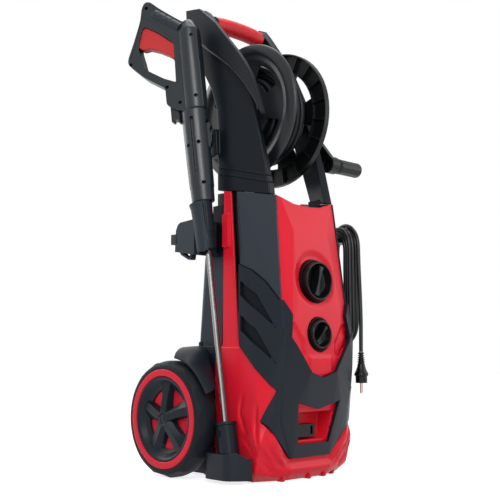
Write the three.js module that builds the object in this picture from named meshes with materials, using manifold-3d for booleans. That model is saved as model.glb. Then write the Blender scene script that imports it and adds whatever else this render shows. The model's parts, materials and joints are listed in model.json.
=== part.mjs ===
// Pressure washer on two wheels with a hose reel between the handle arms, a gun and lance stored on its left
// side and a mains lead hung on its right side. Millimetres, +Z up, the front faces -Y, the floor is z = 0.
import * as THREE from 'three';
import { mergeVertices } from 'three/addons/utils/BufferGeometryUtils.js';
import { ConvexGeometry } from 'three/addons/geometries/ConvexGeometry.js';
import Module from 'manifold-3d';

const wasm = await Module();
wasm.setup();

// ---------- driving dimensions ----------

const fitGap = 0.3;            // clearance where one piece seats on or in another
const seamGap = 0.6;           // visible joint line between two covers
const moveGap = 1;             // clearance round a piece that moves
const shellWall = 3;           // moulded wall

const seamTop = 520;           // above the joint between the body and the arms
const seamFront = [-104, 501]; // that joint's front end, [y, z]; it rises to the rear
const seamRise = 0.158;
const sideHalf = 105;          // half width over the red side strips
const rearSplit = 8;           // where the front covers end and the rear housing starts
const shieldProud = 5.5;       // how far the black shield stands out from the body skin
const columnProud = 2;         // the same for the side columns
const panelTopZ = 500;         // upper corners of the red panel
const panelDip = 14;           // how far the panel's top edge dips in the middle

const powerKnobRadius = 36.5;
const powerKnobZ = 348;
const dosingKnobRadius = 28;
const dosingKnobZ = 253;
const bezelWall = 1.6;
const stemRadius = 5;

const axleRadius = 6;
const axleY = 72;
const wheelRadius = 103.6;
const wheelInner = 134;        // inner side of the tyre, from the middle
const wheelWidth = 49;
const rimRadius = 79;          // dark trim
const ringRadius = 88;         // red ring round the trim
const spokeCount = 5;

const reelY = 2;
const reelZ = 676;
const reelRadius = 133;
const reelHalf = 49.4;         // half width over both flanges
const drumRadius = 58;
const hoseDiameter = 12;
const hoseLayers = 3;
const ringDepth = 36;          // radial depth of the right guide ring
const ringWindows = 5;
const ringRibs = 20;
const reelAxleRadius = 8;
const hubTubeRadius = 13;
const crankDrop = 90;          // crank boss below the reel axle
const crankReach = 79;         // crank boss in front of the reel axle
const crankX = 101;
const crankBossRadius = 17;
const crankSweep = Math.hypot(crankDrop, crankReach) + crankBossRadius + 2; // radius that the crank needs
const crankKnobRadius = 15;
const crankKnobLength = 70;

const gripY = 72;
const gripZ = 868;
const gripHalf = 62;
const gripRadius = 16.5;
const gripBow = 4;
const barRadius = 10;

const lanceX = -137;           // foot of the stored lance
const lanceY = -62;
const lanceZ = 14;
const lanceTilt = 9;           // degrees that the stored lance leans back
const gunTurn = 120;           // degrees from +X to the side that the trigger guard points to
const rodRadius = 5.5;
const nozzleRadius = 18.5;
const nozzleLength = 76;
const collarRadius = 15;
const collarFoot = 395;        // heights along the lance, from its foot
const handleFoot = 485;
const gunFoot = 664;
const gunHalf = 13;
const triggerHalf = 9;

const cordDiameter = 7.5;
const hankX = sideHalf + 22;   // middle of the wound lead
const hankY = -89;
const hankHalf = 42;
const hankBottom = 236;
const hankTop = 462;
const hankTurn = -15.7;        // degrees that the hank's plane is turned from facing +X

const motorY = -36;
const motorRadius = 55;
const motorFoot = 205;
const motorLength = 145;
const shaftRadius = 7;

// ---------- materials ----------

const paint = (color, roughness, metalness = 0) =>
  new THREE.MeshStandardMaterial({ color, roughness, metalness });
const red = paint(0xd92a3c, 0.42);
const anthracite = paint(0x3b4146, 0.5);
const black = paint(0x16181a, 0.6);
const rubber = paint(0x1d1f20, 0.85);
const steel = paint(0xb9bbbd, 0.25, 1);
const brass = paint(0xb08d45, 0.35, 1);
const iron = paint(0x6d7378, 0.55, 0.8);
const clear = paint(0xd8dcdc, 0.4);

// ---------- solids ----------

// A three.js geometry as a closed solid, turned outwards if its faces point in.
function solid(geometry) {
  const bare = geometry.clone();
  bare.deleteAttribute('normal');
  bare.deleteAttribute('uv');
  const merged = mergeVertices(bare, 1e-4);
  const index = Array.from(merged.index.array);
  const kept = [];
  for (let i = 0; i < index.length; i += 3) {
    const [a, b, c] = index.slice(i, i + 3);
    if (a !== b && b !== c && c !== a) kept.push(a, b, c);
  }
  const vertProperties = new Float32Array(merged.attributes.position.array);
  const make = (order) => new wasm.Manifold(
    new wasm.Mesh({ numProp: 3, vertProperties, triVerts: Uint32Array.from(order) }));
  const first = make(kept);
  if (first.volume() > 0) return first;
  const flipped = [];
  for (let i = 0; i < kept.length; i += 3) flipped.push(kept[i], kept[i + 2], kept[i + 1]);
  return make(flipped);
}

// The geometry of a solid, ready for a mesh.
function geometryOf(body) {
  const mesh = body.getMesh();
  const geometry = new THREE.BufferGeometry();
  geometry.setAttribute('position', new THREE.BufferAttribute(mesh.vertProperties, 3));
  geometry.setIndex(new THREE.BufferAttribute(mesh.triVerts, 1));
  return geometry;
}

const join = (...bodies) => bodies.reduce((a, b) => a.add(b));
const cut = (body, ...tools) => tools.reduce((a, b) => a.subtract(b), body);
const mirrorX = (body) => body.mirror([1, 0, 0]);
const both = (body) => body.add(mirrorX(body));

function box(x0, x1, y0, y1, z0, z1) {
  const geometry = new THREE.BoxGeometry(x1 - x0, y1 - y0, z1 - z0);
  geometry.translate((x0 + x1) / 2, (y0 + y1) / 2, (z0 + z1) / 2);
  return solid(geometry);
}

const hull = (points) => solid(new ConvexGeometry(points.map((p) => new THREE.Vector3(...p))));

// A solid through a row of sections with the same number of corners, each a convex loop.
function loft(sections) {
  const sides = sections[0].length;
  const last = (sections.length - 1) * sides;
  const index = [];
  for (let row = 0; row < last; row += sides) {
    for (let i = 0; i < sides; i += 1) {
      const j = (i + 1) % sides;
      index.push(row + i, row + j, row + sides + j, row + i, row + sides + j, row + sides + i);
    }
  }
  for (let i = 1; i < sides - 1; i += 1) index.push(0, i + 1, i, last, last + i, last + i + 1);
  const geometry = new THREE.BufferGeometry();
  geometry.setAttribute('position', new THREE.Float32BufferAttribute(sections.flat(2), 3));
  geometry.setIndex(index);
  return solid(geometry);
}

// Outlines pushed along an axis. alongX takes [y, z], alongY takes [x, z] and alongZ takes [x, y].
function push(outline, length, right, up, out, origin, hole) {
  const shape = new THREE.Shape(outline.map(([a, b]) => new THREE.Vector2(a, b)));
  if (hole) shape.holes.push(new THREE.Path(hole.map(([a, b]) => new THREE.Vector2(a, b))));
  const geometry = new THREE.ExtrudeGeometry(shape, { depth: length, bevelEnabled: false });
  geometry.applyMatrix4(new THREE.Matrix4().makeBasis(right, up, out).setPosition(origin));
  return solid(geometry);
}
const axisX = new THREE.Vector3(1, 0, 0);
const axisY = new THREE.Vector3(0, 1, 0);
const axisZ = new THREE.Vector3(0, 0, 1);
const alongX = (outline, x0, x1, hole) =>
  push(outline, x1 - x0, axisY, axisZ, axisX, new THREE.Vector3(x0, 0, 0), hole);
const alongY = (outline, y0, y1, hole) =>
  push(outline, y1 - y0, axisX, axisZ, axisY.clone().negate(), new THREE.Vector3(0, y1, 0), hole);
const alongZ = (outline, z0, z1, hole) =>
  push(outline, z1 - z0, axisX, axisY, axisZ, new THREE.Vector3(0, 0, z0), hole);

// Turned pieces: the profile holds [radius, place along the axis].
function turned(profile, segments) {
  const points = profile.map(([r, t]) => new THREE.Vector2(r, t));
  points.push(points[0].clone());
  return solid(new THREE.LatheGeometry(points, segments));
}
const turnedX = (profile, y, z, segments = 32) =>
  turned(profile, segments).rotate([0, 0, -90]).translate([0, y, z]);
const turnedY = (profile, x, z, segments = 32) =>
  turned(profile, segments).translate([x, 0, z]);
const turnedZ = (profile, x, y, segments = 32) =>
  turned(profile, segments).rotate([90, 0, 0]).translate([x, y, 0]);
const rod = (radius, from, to) => [[0, from], [radius, from], [radius, to], [0, to]];
const ring = (inner, outer, from, to) => [[inner, from], [outer, from], [outer, to], [inner, to]];

// A round tube along a smooth curve through points, with one ring for each step.
function tube(points, radius, steps, sides = 8) {
  const curve = new THREE.CatmullRomCurve3(points.map((p) => new THREE.Vector3(...p)));
  const section = new THREE.Shape();
  for (let i = 0; i < sides; i += 1) {
    const turn = (2 * Math.PI * i) / sides;
    const [a, b] = [radius * Math.cos(turn), radius * Math.sin(turn)];
    if (i === 0) section.moveTo(a, b);
    else section.lineTo(a, b);
  }
  return new THREE.ExtrudeGeometry(section, { steps, bevelEnabled: false, extrudePath: curve });
}

const washer = new THREE.Group();

function add(name, body, material, parent = washer) {
  const geometry = body.isBufferGeometry ? body : geometryOf(body);
  const mesh = new THREE.Mesh(geometry, material);
  mesh.name = name;
  parent.add(mesh);
  return mesh;
}

// Everything above the joint between the body and the arms, moved down by a margin.
const seamAt = (y) => seamFront[1] + (y - seamFront[0]) * seamRise;
const aboveSeam = (margin) => alongX([[-220, seamAt(-220) - margin], [120, seamAt(120) - margin],
  [120, 620], [-220, 620]], -160, 160);

// ---------- body skin ----------

// Half outlines of the body skin: height, then [x, y] from the front corner round to the rear of the side.
const skinLevels = [
  [2, [46, -105], [sideHalf, -82], [sideHalf + 3, rearSplit]],
  [20, [46, -110], [sideHalf + 3, -95], [sideHalf + 4, rearSplit]],
  [60, [40, -114], [90, -112], [sideHalf + 5, -104], [sideHalf + 5.5, rearSplit]],
  [100, [60, -124], [85, -120], [sideHalf + 5, -105], [sideHalf + 5.5, rearSplit]],
  [136, [54, -134], [86, -128], [sideHalf + 5, -82], [sideHalf + 5.5, rearSplit]],
  [186, [32, -146], [88, -134], [sideHalf + 4.5, -70], [sideHalf + 5, rearSplit]],
  [250, [70, -144], [86, -137], [sideHalf + 2.5, -60], [sideHalf + 3, rearSplit]],
  [309, [50, -139], [85, -131], [sideHalf + 1, -56], [sideHalf + 1, rearSplit]],
  [436, [45, -125], [79, -117], [sideHalf, -46], [sideHalf, rearSplit]],
  [panelTopZ, [75, -110], [sideHalf, -41], [sideHalf, rearSplit]],
  [seamTop, [73.5, -107.5], [sideHalf, -40], [sideHalf, rearSplit]],
];

// The skin as a solid, grown outwards all round by a distance.
function skin(grow) {
  const points = [];
  for (const [z, ...outline] of skinLevels) {
    for (const [x, y] of outline) {
      const wide = x * (1 + grow / sideHalf);
      const deep = rearSplit + (y - rearSplit) * (1 + grow / 125);
      points.push([wide, deep, z], [-wide, deep, z]);
    }
  }
  return hull(points);
}

// A layer of the skin between two offsets, open at the back, top and bottom.
const skinLayer = (inner, outer) => cut(
  skin(outer), skin(inner),
  box(-80, 80, rearSplit - 20, rearSplit + 20, 0, seamTop + 20),
  hull([[-70, -90, -10], [70, -90, -10], [90, 0, -10], [-90, 0, -10],
    [-70, -90, 30], [70, -90, 30], [90, 0, 30], [-90, 0, 30]]),
);

// Front view outline of the red panel, [x, z], from the shield's point up to the dipped top edge.
const panelHalf = [[31.5, 187], [77, 247.5], [70.5, 287], [84.4, 309.5], [74.6, panelTopZ],
  [58, panelTopZ - 5], [34, panelTopZ - panelDip + 2]];
const mirrored = (half) => half.map(([x, z]) => [-x, z]).reverse();
const panelOutline = [[0, 177.5], ...panelHalf, [0, panelTopZ - panelDip], ...mirrored(panelHalf)];

// Side view outline of the shield, [y, z]: over the crease, down the front and back up behind the louvres.
const shieldCrease = [[-54, 377], [-80, 364.5], [-106, 343], [-131, 311]];
const shieldSide = [...shieldCrease, [-180, 311], [-180, 30], [-96, 30], [-109, 104], [-133.5, 158],
  [-60, 230], [-55, 255]];

// Front view outline of everything above the shield's cut bottom corners, [x, z].
const shieldFoot = [[-140, 420], [-140, 128], [-112, 104], [-52, 40], [52, 40], [112, 104], [140, 128],
  [140, 420]];
const shieldHole = [[-54, 136], [-40, 63], [40, 63], [54, 136], [0, 123]];

// An outline with every edge moved out by a distance.
function grown(outline, distance) {
  const count = outline.length;
  const turn = Math.sign(outline.reduce((sum, [a, b], i) => {
    const [c, d] = outline[(i + 1) % count];
    return sum + a * d - b * c;
  }, 0));
  const normals = outline.map(([a, b], i) => {
    const [c, d] = outline[(i + 1) % count];
    const length = Math.hypot(c - a, d - b);
    return [(turn * (d - b)) / length, (turn * (a - c)) / length];
  });
  return outline.map(([a, b], i) => {
    const [m, n] = [normals[(i + count - 1) % count], normals[i]];
    const scale = distance / (1 + m[0] * n[0] + m[1] * n[1]);
    return [a + (m[0] + n[0]) * scale, b + (m[1] + n[1]) * scale];
  });
}

const shieldZone = (margin) => cut(
  alongX(grown(shieldSide, margin), -150, 150).intersect(alongY(grown(shieldFoot, margin), -200, 50)),
  alongY(grown(panelOutline, -margin), -220, -60),
);

// Louvre recesses in the shield's sides, [y, z]: tall at the rear and pointed at the front.
const louvres = [
  [[-58, 349], [-58, 322], [-96, 292], [-127, 266], [-92, 322]],
  [[-60, 288], [-60, 260], [-98, 232], [-129, 206], [-94, 262]],
];

const shield = cut(
  skinLayer(fitGap, shieldProud).intersect(shieldZone(0)),
  alongY(shieldHole, -220, -60),
  ...louvres.map((outline) => alongX(outline, -150, 150)),
);
add('front_shield', shield, black);

// ---------- red covers ----------

const panel = cut(
  skinLayer(-shellWall, 0).intersect(alongY(grown(panelOutline, -fitGap), -220, -60)),
  turnedY(rod(powerKnobRadius + bezelWall + moveGap + fitGap, -200, -60), 0, powerKnobZ),
  turnedY(rod(dosingKnobRadius + bezelWall + moveGap + fitGap, -200, -60), 0, dosingKnobZ),
);
add('front_panel', panel, red);

// The red lower cover runs on upwards as a strip at each side, and has a recess behind the shield's hole.
const stripProfile = [[-60, 180], [-46, 236], [-40, 300], [-24, seamTop], [-5, seamTop], [-4, 236],
  [4, 228], [4, 180]];
const stripInner = sideHalf - 4.5;
const strips = both(box(stripInner, sideHalf, -70, rearSplit - fitGap, 180, seamTop))
  .intersect(alongX(stripProfile, -120, 120));
const recessTop = 120;
const recessFoot = 67;
const recess = (margin, floor) => hull([
  [-48 - margin, -145, recessTop + margin], [48 + margin, -145, recessTop + margin],
  [-42 - margin, -145, recessFoot - margin], [42 + margin, -145, recessFoot - margin],
  [-43 - margin, floor, recessTop - 6 + margin], [43 + margin, floor, recessTop - 6 + margin],
  [-40 - margin, floor, recessFoot + 4 - margin], [40 + margin, floor, recessFoot + 4 - margin],
]);
const recessFloor = -98;
const lowerZone = box(-140, 140, -200, rearSplit - fitGap, 2, 230);
const nubs = [-104, -55, 0, 55, 104].map((x) => box(x - 5, x + 5, Math.abs(x) > 60 ? -80 : -105,
  Math.abs(x) > 60 ? -66 : -94, 0, 6));
const ledge = both(box(stripInner, sideHalf + 15, -64, rearSplit - fitGap, 225, 230)).intersect(skin(2.5));
const clipRidge = box(-sideHalf - 5, -sideHalf + 1, -23, -6, 412, 472);
const lowerCover = cut(
  join(skinLayer(-shellWall, 0), skinLayer(-shellWall, 2.5)).intersect(lowerZone)
    .add(recess(shellWall, recessFloor + shellWall).intersect(skin(-1)))
    .add(strips).add(ledge).add(clipRidge).add(join(...nubs).intersect(skin(2))),
  recess(0, recessFloor),
  cut(shieldZone(fitGap), skin(0)),
  alongY(grown(panelOutline, fitGap), -220, -60),
  alongX(grown(louvres[1], 3), -150, 150),
  aboveSeam(seamGap),
);
add('lower_cover', lowerCover, red);

// ---------- side columns ----------

const columnOutline = [...shieldCrease.map(([y, z]) => [y, z + seamGap]), [-150, 311.6], [-150, seamTop],
  [-41, seamTop]];
const columnZone = alongX(columnOutline, -150, 150);
const columns = cut(
  skinLayer(-shellWall, columnProud).intersect(columnZone),
  alongY(grown(panelOutline, seamGap), -220, -60),
  alongY([[-74.6, 400], [74.6, 400], [74.6, seamTop + 9], [-74.6, seamTop + 9]], -220, -60),
  aboveSeam(seamGap),
);
const rightHalf = box(0, 160, -220, 60, 0, seamTop + 9);
const rightColumn = columns.intersect(rightHalf);
add('left_column', mirrorX(rightColumn), anthracite);
add('right_column', rightColumn, anthracite);

// ---------- base, side frames and deck ----------

const panTop = 30;
const panFloor = 6;
const panHalf = [[36, -92], [sideHalf - 7, -66], [sideHalf - 4, 2], [sideHalf - 2, 12], [sideHalf - 2, 60]];
const panOutline = [...panHalf, ...mirrored(panHalf)];
const feet = both(box(70, 84, -62, -48, 0, panFloor)).add(both(box(80, 96, 40, 56, 0, panFloor)));
const axleBracketX = sideHalf - 2;
const bracket = both(alongX([[50, panFloor - 1], [94, panFloor - 1], [88, wheelRadius + 14],
  [56, wheelRadius + 14]], axleBracketX - 4, axleBracketX));
const basePan = cut(
  join(alongZ(panOutline, 3, panTop), feet, box(-30, 30, -20, 20, 0, 4), bracket,
    box(-axleBracketX, axleBracketX, 56, 92, 3, panFloor)),
  alongZ(panOutline.map(([x, y]) => [x * 0.97, y * 0.965]), panFloor, panTop + 1),
  turnedX(rod(axleRadius + fitGap, -120, 120), axleY, wheelRadius, 24),
);
add('base_pan', basePan, black);

const frameTop = seamTop;
const frameOuter = sideHalf - 10;
const frameInner = frameOuter - 3;
const frameOutline = [[frameInner, rearSplit - 2], [frameOuter, rearSplit - 2], [frameOuter, -40],
  [70, -97], [67.4, -95.5], [frameInner, -39]];
const sideFrame = cut(
  alongZ(frameOutline, panFloor + fitGap, frameTop),
  box(60, sideHalf, -100, -50, 0, panTop + fitGap),
  box(80, sideHalf, -34, -6, 60, 200),
  aboveSeam(seamGap + 3),
);
add('left_frame', mirrorX(sideFrame), black);
add('right_frame', sideFrame, black);

// The foot of each arm runs down through the deck inside the frame, [x, y].
const tenonFoot = 440;
const tenonPlan = [[66.5, -86], [68.5, -86], [81, -57.5], [66.5, -57.5]];
const deckZ = 487;
const deckSide = frameInner - fitGap - 0.1;
const deckOutline = [[-deckSide, rearSplit], [-deckSide, -38.5], [-66.9, -94.5], [66.9, -94.5],
  [deckSide, -38.5], [deckSide, rearSplit]];
const tenonHole = alongZ(grown(tenonPlan, fitGap), 400, seamTop);
const deck = cut(alongZ(deckOutline, deckZ, deckZ + 4), tenonHole, mirrorX(tenonHole));
add('top_deck', deck, black);

// ---------- rear housing ----------

const rearLevels = [
  [34, [sideHalf - 7, 0], [sideHalf - 7, 74], [84, 92]],
  [150, [sideHalf - 7, 0], [sideHalf - 7, 74], [84, 90]],
  [232, [sideHalf - 10, 0], [sideHalf - 10, 64], [84, 80]],
  [400, [sideHalf - 14, 0], [sideHalf - 14, 58], [80, 74]],
  [442, [sideHalf - 15, 0], [sideHalf - 15, 48], [78, 64]],
  [494, [sideHalf - 17, 0], [sideHalf - 17, 15], [80, 20]],
];
const rearSolid = (grow) => hull(rearLevels.flatMap(([z, ...outline]) => outline.flatMap(([x, y]) => [
  [x + grow, y + grow, z + (z > 400 ? grow : 0)], [-x - grow, y + grow, z + (z > 400 ? grow : 0)]])));
const ventPitch = 14;
const vents = [];
for (let i = 0; i < 9; i += 1) {
  vents.push(box(-52, 52, 60, 110, 262 + i * ventPitch, 267 + i * ventPitch));
}
const inletX = 56;
const inletZ = 60;
const rearHousing = cut(
  rearSolid(0), rearSolid(-shellWall),
  box(-sideHalf - 5, sideHalf + 5, -30, rearSplit + fitGap, 0, 520),
  box(-axleBracketX - 1, -axleBracketX + 6, 40, 100, 0, 140),
  box(-80, 80, 0, 120, 0, 60 - 22),
  turnedX(rod(axleRadius + moveGap, -120, 120), axleY, wheelRadius, 24),
  turnedY(rod(16, 60, 120), inletX, inletZ, 24),
  ...vents,
);
add('rear_housing', rearHousing, anthracite);

// ---------- handle arms ----------

// Sections up the arm: front height, front edge, outer corner, rear edge, and the outer half widths there.
const armLevels = [
  { z: 501, front: -104, mid: -41, rear: 11, xFront: 84, xRear: 104 },
  { z: 560, front: -91, mid: -31, rear: 14, xFront: 82, xRear: 102 },
  { z: 613, front: -76, mid: -20, rear: 18, xFront: 80, xRear: 99 },
  { z: 665, front: -59, mid: -8, rear: 25, xFront: 79, xRear: 96.5 },
  { z: 716, front: -43, mid: 6, rear: 40, xFront: 79, xRear: 96.5 },
  { z: 767, front: -18, mid: 22, rear: 72, xFront: 79, xRear: 96.5 },
  { z: 825, front: 20, mid: 50, rear: 97, xFront: 80, xRear: 96.5 },
  { z: 872, front: 56, mid: 74, rear: 106, xFront: 82, xRear: 96.5 },
  { z: 890, front: 72, mid: 84, rear: 104, xFront: 84, xRear: 96 },
];
const armInner = 66;
function armSection(level, rear, innerRear, side) {
  const at = (x, y) => [side * x, y, level.z + (y - level.front) * seamRise * (level.z < 700 ? 1 : 0.2)];
  return [at(armInner, level.front + 4), at(level.xFront, level.front), at(level.xRear, level.mid),
    at(level.xRear, rear), at(armInner + 8, innerRear)];
}
function arm(side, rears, innerRears) {
  return loft(armLevels.map((level, i) => armSection(level, rears[i], innerRears[i], side)));
}
const leftRear = armLevels.map((level) => level.rear);
const leftTenon = mirrorX(alongZ(tenonPlan, tenonFoot, 515));
const armClip = alongX([[10, 588], [27, 582], [27, 640], [14, 636]], -108, -90);
const leftArm = cut(
  join(arm(-1, leftRear, leftRear), leftTenon, armClip),
  turnedX(rod(barRadius + fitGap, -88, 0), gripY, gripZ, 24),
  turnedX(rod(reelAxleRadius + fitGap, -91, 0), reelY, reelZ, 24),
);
add('left_arm', leftArm, anthracite);

const rightRear = [-31, -18, -2, 22, 40, 72, 97, 106, 104];
const rightInnerRear = [-57, -37, -16, 8, 28, 62, 92, 104, 103];
const rightArm = cut(
  join(
    arm(1, rightRear, rightInnerRear),
    alongZ(tenonPlan, tenonFoot, 510),
    turnedX(rod(hubTubeRadius + 7, armInner, 97), reelY, reelZ, 24),
  ),
  turnedX(rod(barRadius + fitGap, 0, 88), gripY, gripZ, 24),
  turnedX(rod(hubTubeRadius + moveGap, 0, 120), reelY, reelZ, 24),
  turnedX(rod(crankSweep, crankX - moveGap, crankX + 20), reelY, reelZ, 40),
);
add('right_arm', rightArm, anthracite);

// The swept wing on the outside of the left arm, [y, z].
const wingOutline = [[67, 886], [18, 843], [-10, 810], [-38, 778], [-59, 751], [-78, 721], [-93, 684],
  [-107, 644], [-102, 641], [-96, 650], [-75, 682], [-51, 714], [-16, 749], [12, 771], [38, 790],
  [70, 815], [104, 850], [107, 893]];
add('left_wing', alongX(wingOutline, -106.4, -96.5 - fitGap), anthracite);

// ---------- handle ----------

add('handle_bar', turnedX(rod(barRadius, -87, 87), gripY, gripZ, 24), steel);
const gripCurve = [];
for (let i = 0; i <= 6; i += 1) {
  const x = -gripHalf + (i * gripHalf) / 3;
  gripCurve.push([x, gripY, gripZ + gripBow * (1 - (x / gripHalf) ** 2) - gripBow / 2]);
}
const collarEnd = both(turnedX(ring(barRadius + fitGap, 14.5, gripHalf + fitGap, armInner - fitGap), gripY,
  gripZ, 24));
const sleeve = cut(solid(tube(gripCurve, gripRadius, 10, 16)),
  turnedX(rod(barRadius + fitGap, -90, 90), gripY, gripZ, 24));
add('handle_grip', join(sleeve, collarEnd), red);

// ---------- hose reel ----------

const flangeFace = reelHalf - 6;
const drumEnd = 35.5;
const coilRadius = drumRadius + 0.6 + hoseLayers * hoseDiameter;
const reelSector = (inner, outer, from, to, x0, x1) => {
  const outline = [];
  const steps = 6;
  const at = (r, turn) => [reelY - r * Math.sin(turn), reelZ + r * Math.cos(turn)];
  const start = (from * Math.PI) / 180;
  const sweep = ((to - from) * Math.PI) / 180;
  for (let i = 0; i <= steps; i += 1) outline.push(at(outer, start + (sweep * i) / steps));
  for (let i = steps; i >= 0; i -= 1) outline.push(at(inner, start + (sweep * i) / steps));
  return alongX(outline, x0, x1);
};
const flangeWindows = [0, 1, 2].map((i) => reelSector(71, 94, 28 + i * 120, 70 + i * 120, -60, -38));
const flange = cut(
  turnedX([[reelAxleRadius + fitGap, -46], [30, -46], [32, -flangeFace], [104, -flangeFace], [109, -48],
    [114, -reelHalf], [125, -reelHalf], [131, -46.5], [reelRadius, -42], [131, -37.5], [126, -36.4],
    [drumRadius, -36.4], [drumRadius, drumEnd], [54, drumEnd], [54, -39.5],
    [reelAxleRadius + fitGap, -39.5]], reelY, reelZ, 48),
  ...flangeWindows,
);
add('reel_flange', flange, black);

add('hose_coil', turnedX(ring(drumRadius + fitGap, coilRadius, -36, drumEnd), reelY, reelZ, 40), rubber);

const ringInner = reelRadius - ringDepth;
const ribs = [];
for (let i = 0; i < ringRibs; i += 1) {
  const turn = (360 * (i + 0.5)) / ringRibs;
  ribs.push(reelSector(ringInner + 1, reelRadius - 1, turn - 0.5, turn + 0.5, 39, 46));
}
const windowPitch = 360 / ringWindows;
const ringSpokes = [];
for (let i = 0; i < ringWindows; i += 1) {
  ringSpokes.push(reelSector(27, ringInner + 1, 2 + i * windowPitch, 34 + i * windowPitch, 41, 46));
}
const guideRing = cut(
  join(
    turnedX([[ringInner, 40], [ringInner + 2.5, 40], [ringInner + 2.5, 44], [reelRadius - 3, 44],
      [reelRadius - 3, 38], [reelRadius - 1, 37], [reelRadius, 38], [reelRadius, reelHalf - 1],
      [reelRadius - 2, reelHalf], [ringInner + 2, reelHalf], [ringInner, reelHalf - 2]], reelY, reelZ, 56),
    ...ribs, ...ringSpokes,
    turnedX(rod(57, drumEnd + fitGap, 42), reelY, reelZ, 32),
    turnedX(rod(30, 41, reelHalf), reelY, reelZ, 32),
    turnedX(rod(hubTubeRadius, 41, crankX - fitGap), reelY, reelZ, 24),
  ),
  turnedX(rod(reelAxleRadius + fitGap, 0, 120), reelY, reelZ, 24),
);
add('reel_ring', guideRing, black);
add('reel_axle', turnedX(rod(reelAxleRadius, -90, crankX - 2), reelY, reelZ, 24), steel);

// The crank on the right: a flat arm to a boss, with a knob that spins on the boss's pin.
const bossY = reelY - crankReach;
const bossZ = reelZ - crankDrop;
const disc = (y, z, radius, count = 12) => Array.from({ length: count }, (_, i) => {
  const turn = (2 * Math.PI * i) / count;
  return [y + radius * Math.cos(turn), z + radius * Math.sin(turn)];
});
const web = hull([crankX, crankX + 11].flatMap((x) => [
  ...disc(reelY, reelZ, 21).map(([y, z]) => [x, y, z]), ...disc(bossY, bossZ, 16).map(([y, z]) => [x, y, z])]));
const pinEnd = crankX + 22 + crankKnobLength;
const crank = join(web, turnedX(rod(crankBossRadius, crankX, crankX + 22), bossY, bossZ, 24),
  turnedX(rod(5, crankX + 20, pinEnd - 8), bossY, bossZ, 12));
add('crank_arm', cut(crank, turnedX(rod(9, crankX - 1, crankX + 14), bossY, bossZ, 16)), black);
const knobStart = crankX + 22 + fitGap;
const crankKnob = cut(
  turnedX([[0, knobStart], [12, knobStart], [crankKnobRadius, knobStart + 8],
    [crankKnobRadius, pinEnd - 3], [crankKnobRadius - 3, pinEnd], [0, pinEnd]], bossY, bossZ, 20),
  turnedX(rod(5.4, crankX, pinEnd - 7.5), bossY, bossZ, 12),
);
add('crank_knob', crankKnob, black);

// ---------- wheels ----------

const outerFace = wheelInner + wheelWidth;
const axleZ = wheelRadius;
const tyre = turnedX([[ringRadius - 6.6, wheelInner + 6], [94, wheelInner + 2], [101, wheelInner + 6],
  [wheelRadius, wheelInner + 14], [wheelRadius, outerFace - 15], [100, outerFace - 5],
  [94, outerFace - 1], [ringRadius + fitGap, outerFace - 1], [ringRadius + fitGap, outerFace - 5],
  [ringRadius - 6.6, outerFace - 5]], axleY, axleZ, 40);
const dishFloor = outerFace - 20;
const dish = turnedX([[axleRadius + fitGap, wheelInner], [18, wheelInner], [18, dishFloor - 4],
  [76, dishFloor - 4], [ringRadius - 7, dishFloor + 3], [ringRadius - 7, outerFace - 4.6],
  [ringRadius, outerFace - 4.6], [ringRadius, outerFace], [rimRadius + 0.4, outerFace],
  [rimRadius + 0.4, dishFloor + 4], [75, dishFloor], [axleRadius + fitGap, dishFloor]], axleY, axleZ, 40);
const trimBack = dishFloor + fitGap;
const band = turnedX([[60, trimBack], [74, trimBack], [rimRadius, dishFloor + 4.6], [rimRadius, outerFace - 1],
  [73, outerFace - 3], [63, trimBack + 6], [60, trimBack + 5]], axleY, axleZ, 40);
const spokes = [];
for (let i = 0; i < spokeCount; i += 1) {
  const turn = ((12 + (360 * i) / spokeCount) * Math.PI) / 180;
  const at = (r, side, x) => [x, axleY - r * Math.sin(turn) - side * Math.cos(turn),
    axleZ + r * Math.cos(turn) - side * Math.sin(turn)];
  spokes.push(hull([
    at(8, -9, trimBack), at(8, 9, trimBack), at(66, -12, trimBack), at(66, 15, trimBack),
    at(8, -8, outerFace - 3), at(8, 8, outerFace - 6), at(66, -4, outerFace - 8), at(66, 13, outerFace - 12),
  ]));
}
const hub = turnedX([[0, trimBack], [20, trimBack], [18, outerFace - 3], [14, outerFace - 1],
  [0, outerFace - 1]], axleY, axleZ, 10);
const trim = cut(join(band, hub, ...spokes),
  turnedX(rod(axleRadius + fitGap, 0, outerFace - 8), axleY, axleZ, 16));
const trimInside = trim.intersect(turnedX(rod(rimRadius, 0, outerFace), axleY, axleZ, 40));
const wheelPieces = { tyre: [tyre, rubber], wheel_disc: [dish, red], wheel_trim: [trimInside, black] };
for (const [kind, [body, material]] of Object.entries(wheelPieces)) {
  add(`left_${kind}`, mirrorX(body), material);
  add(`right_${kind}`, body, material);
}
const axle = turnedX(rod(axleRadius, -outerFace + 9, outerFace - 9), axleY, axleZ, 24);
add('wheel_axle', axle, steel);

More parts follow.
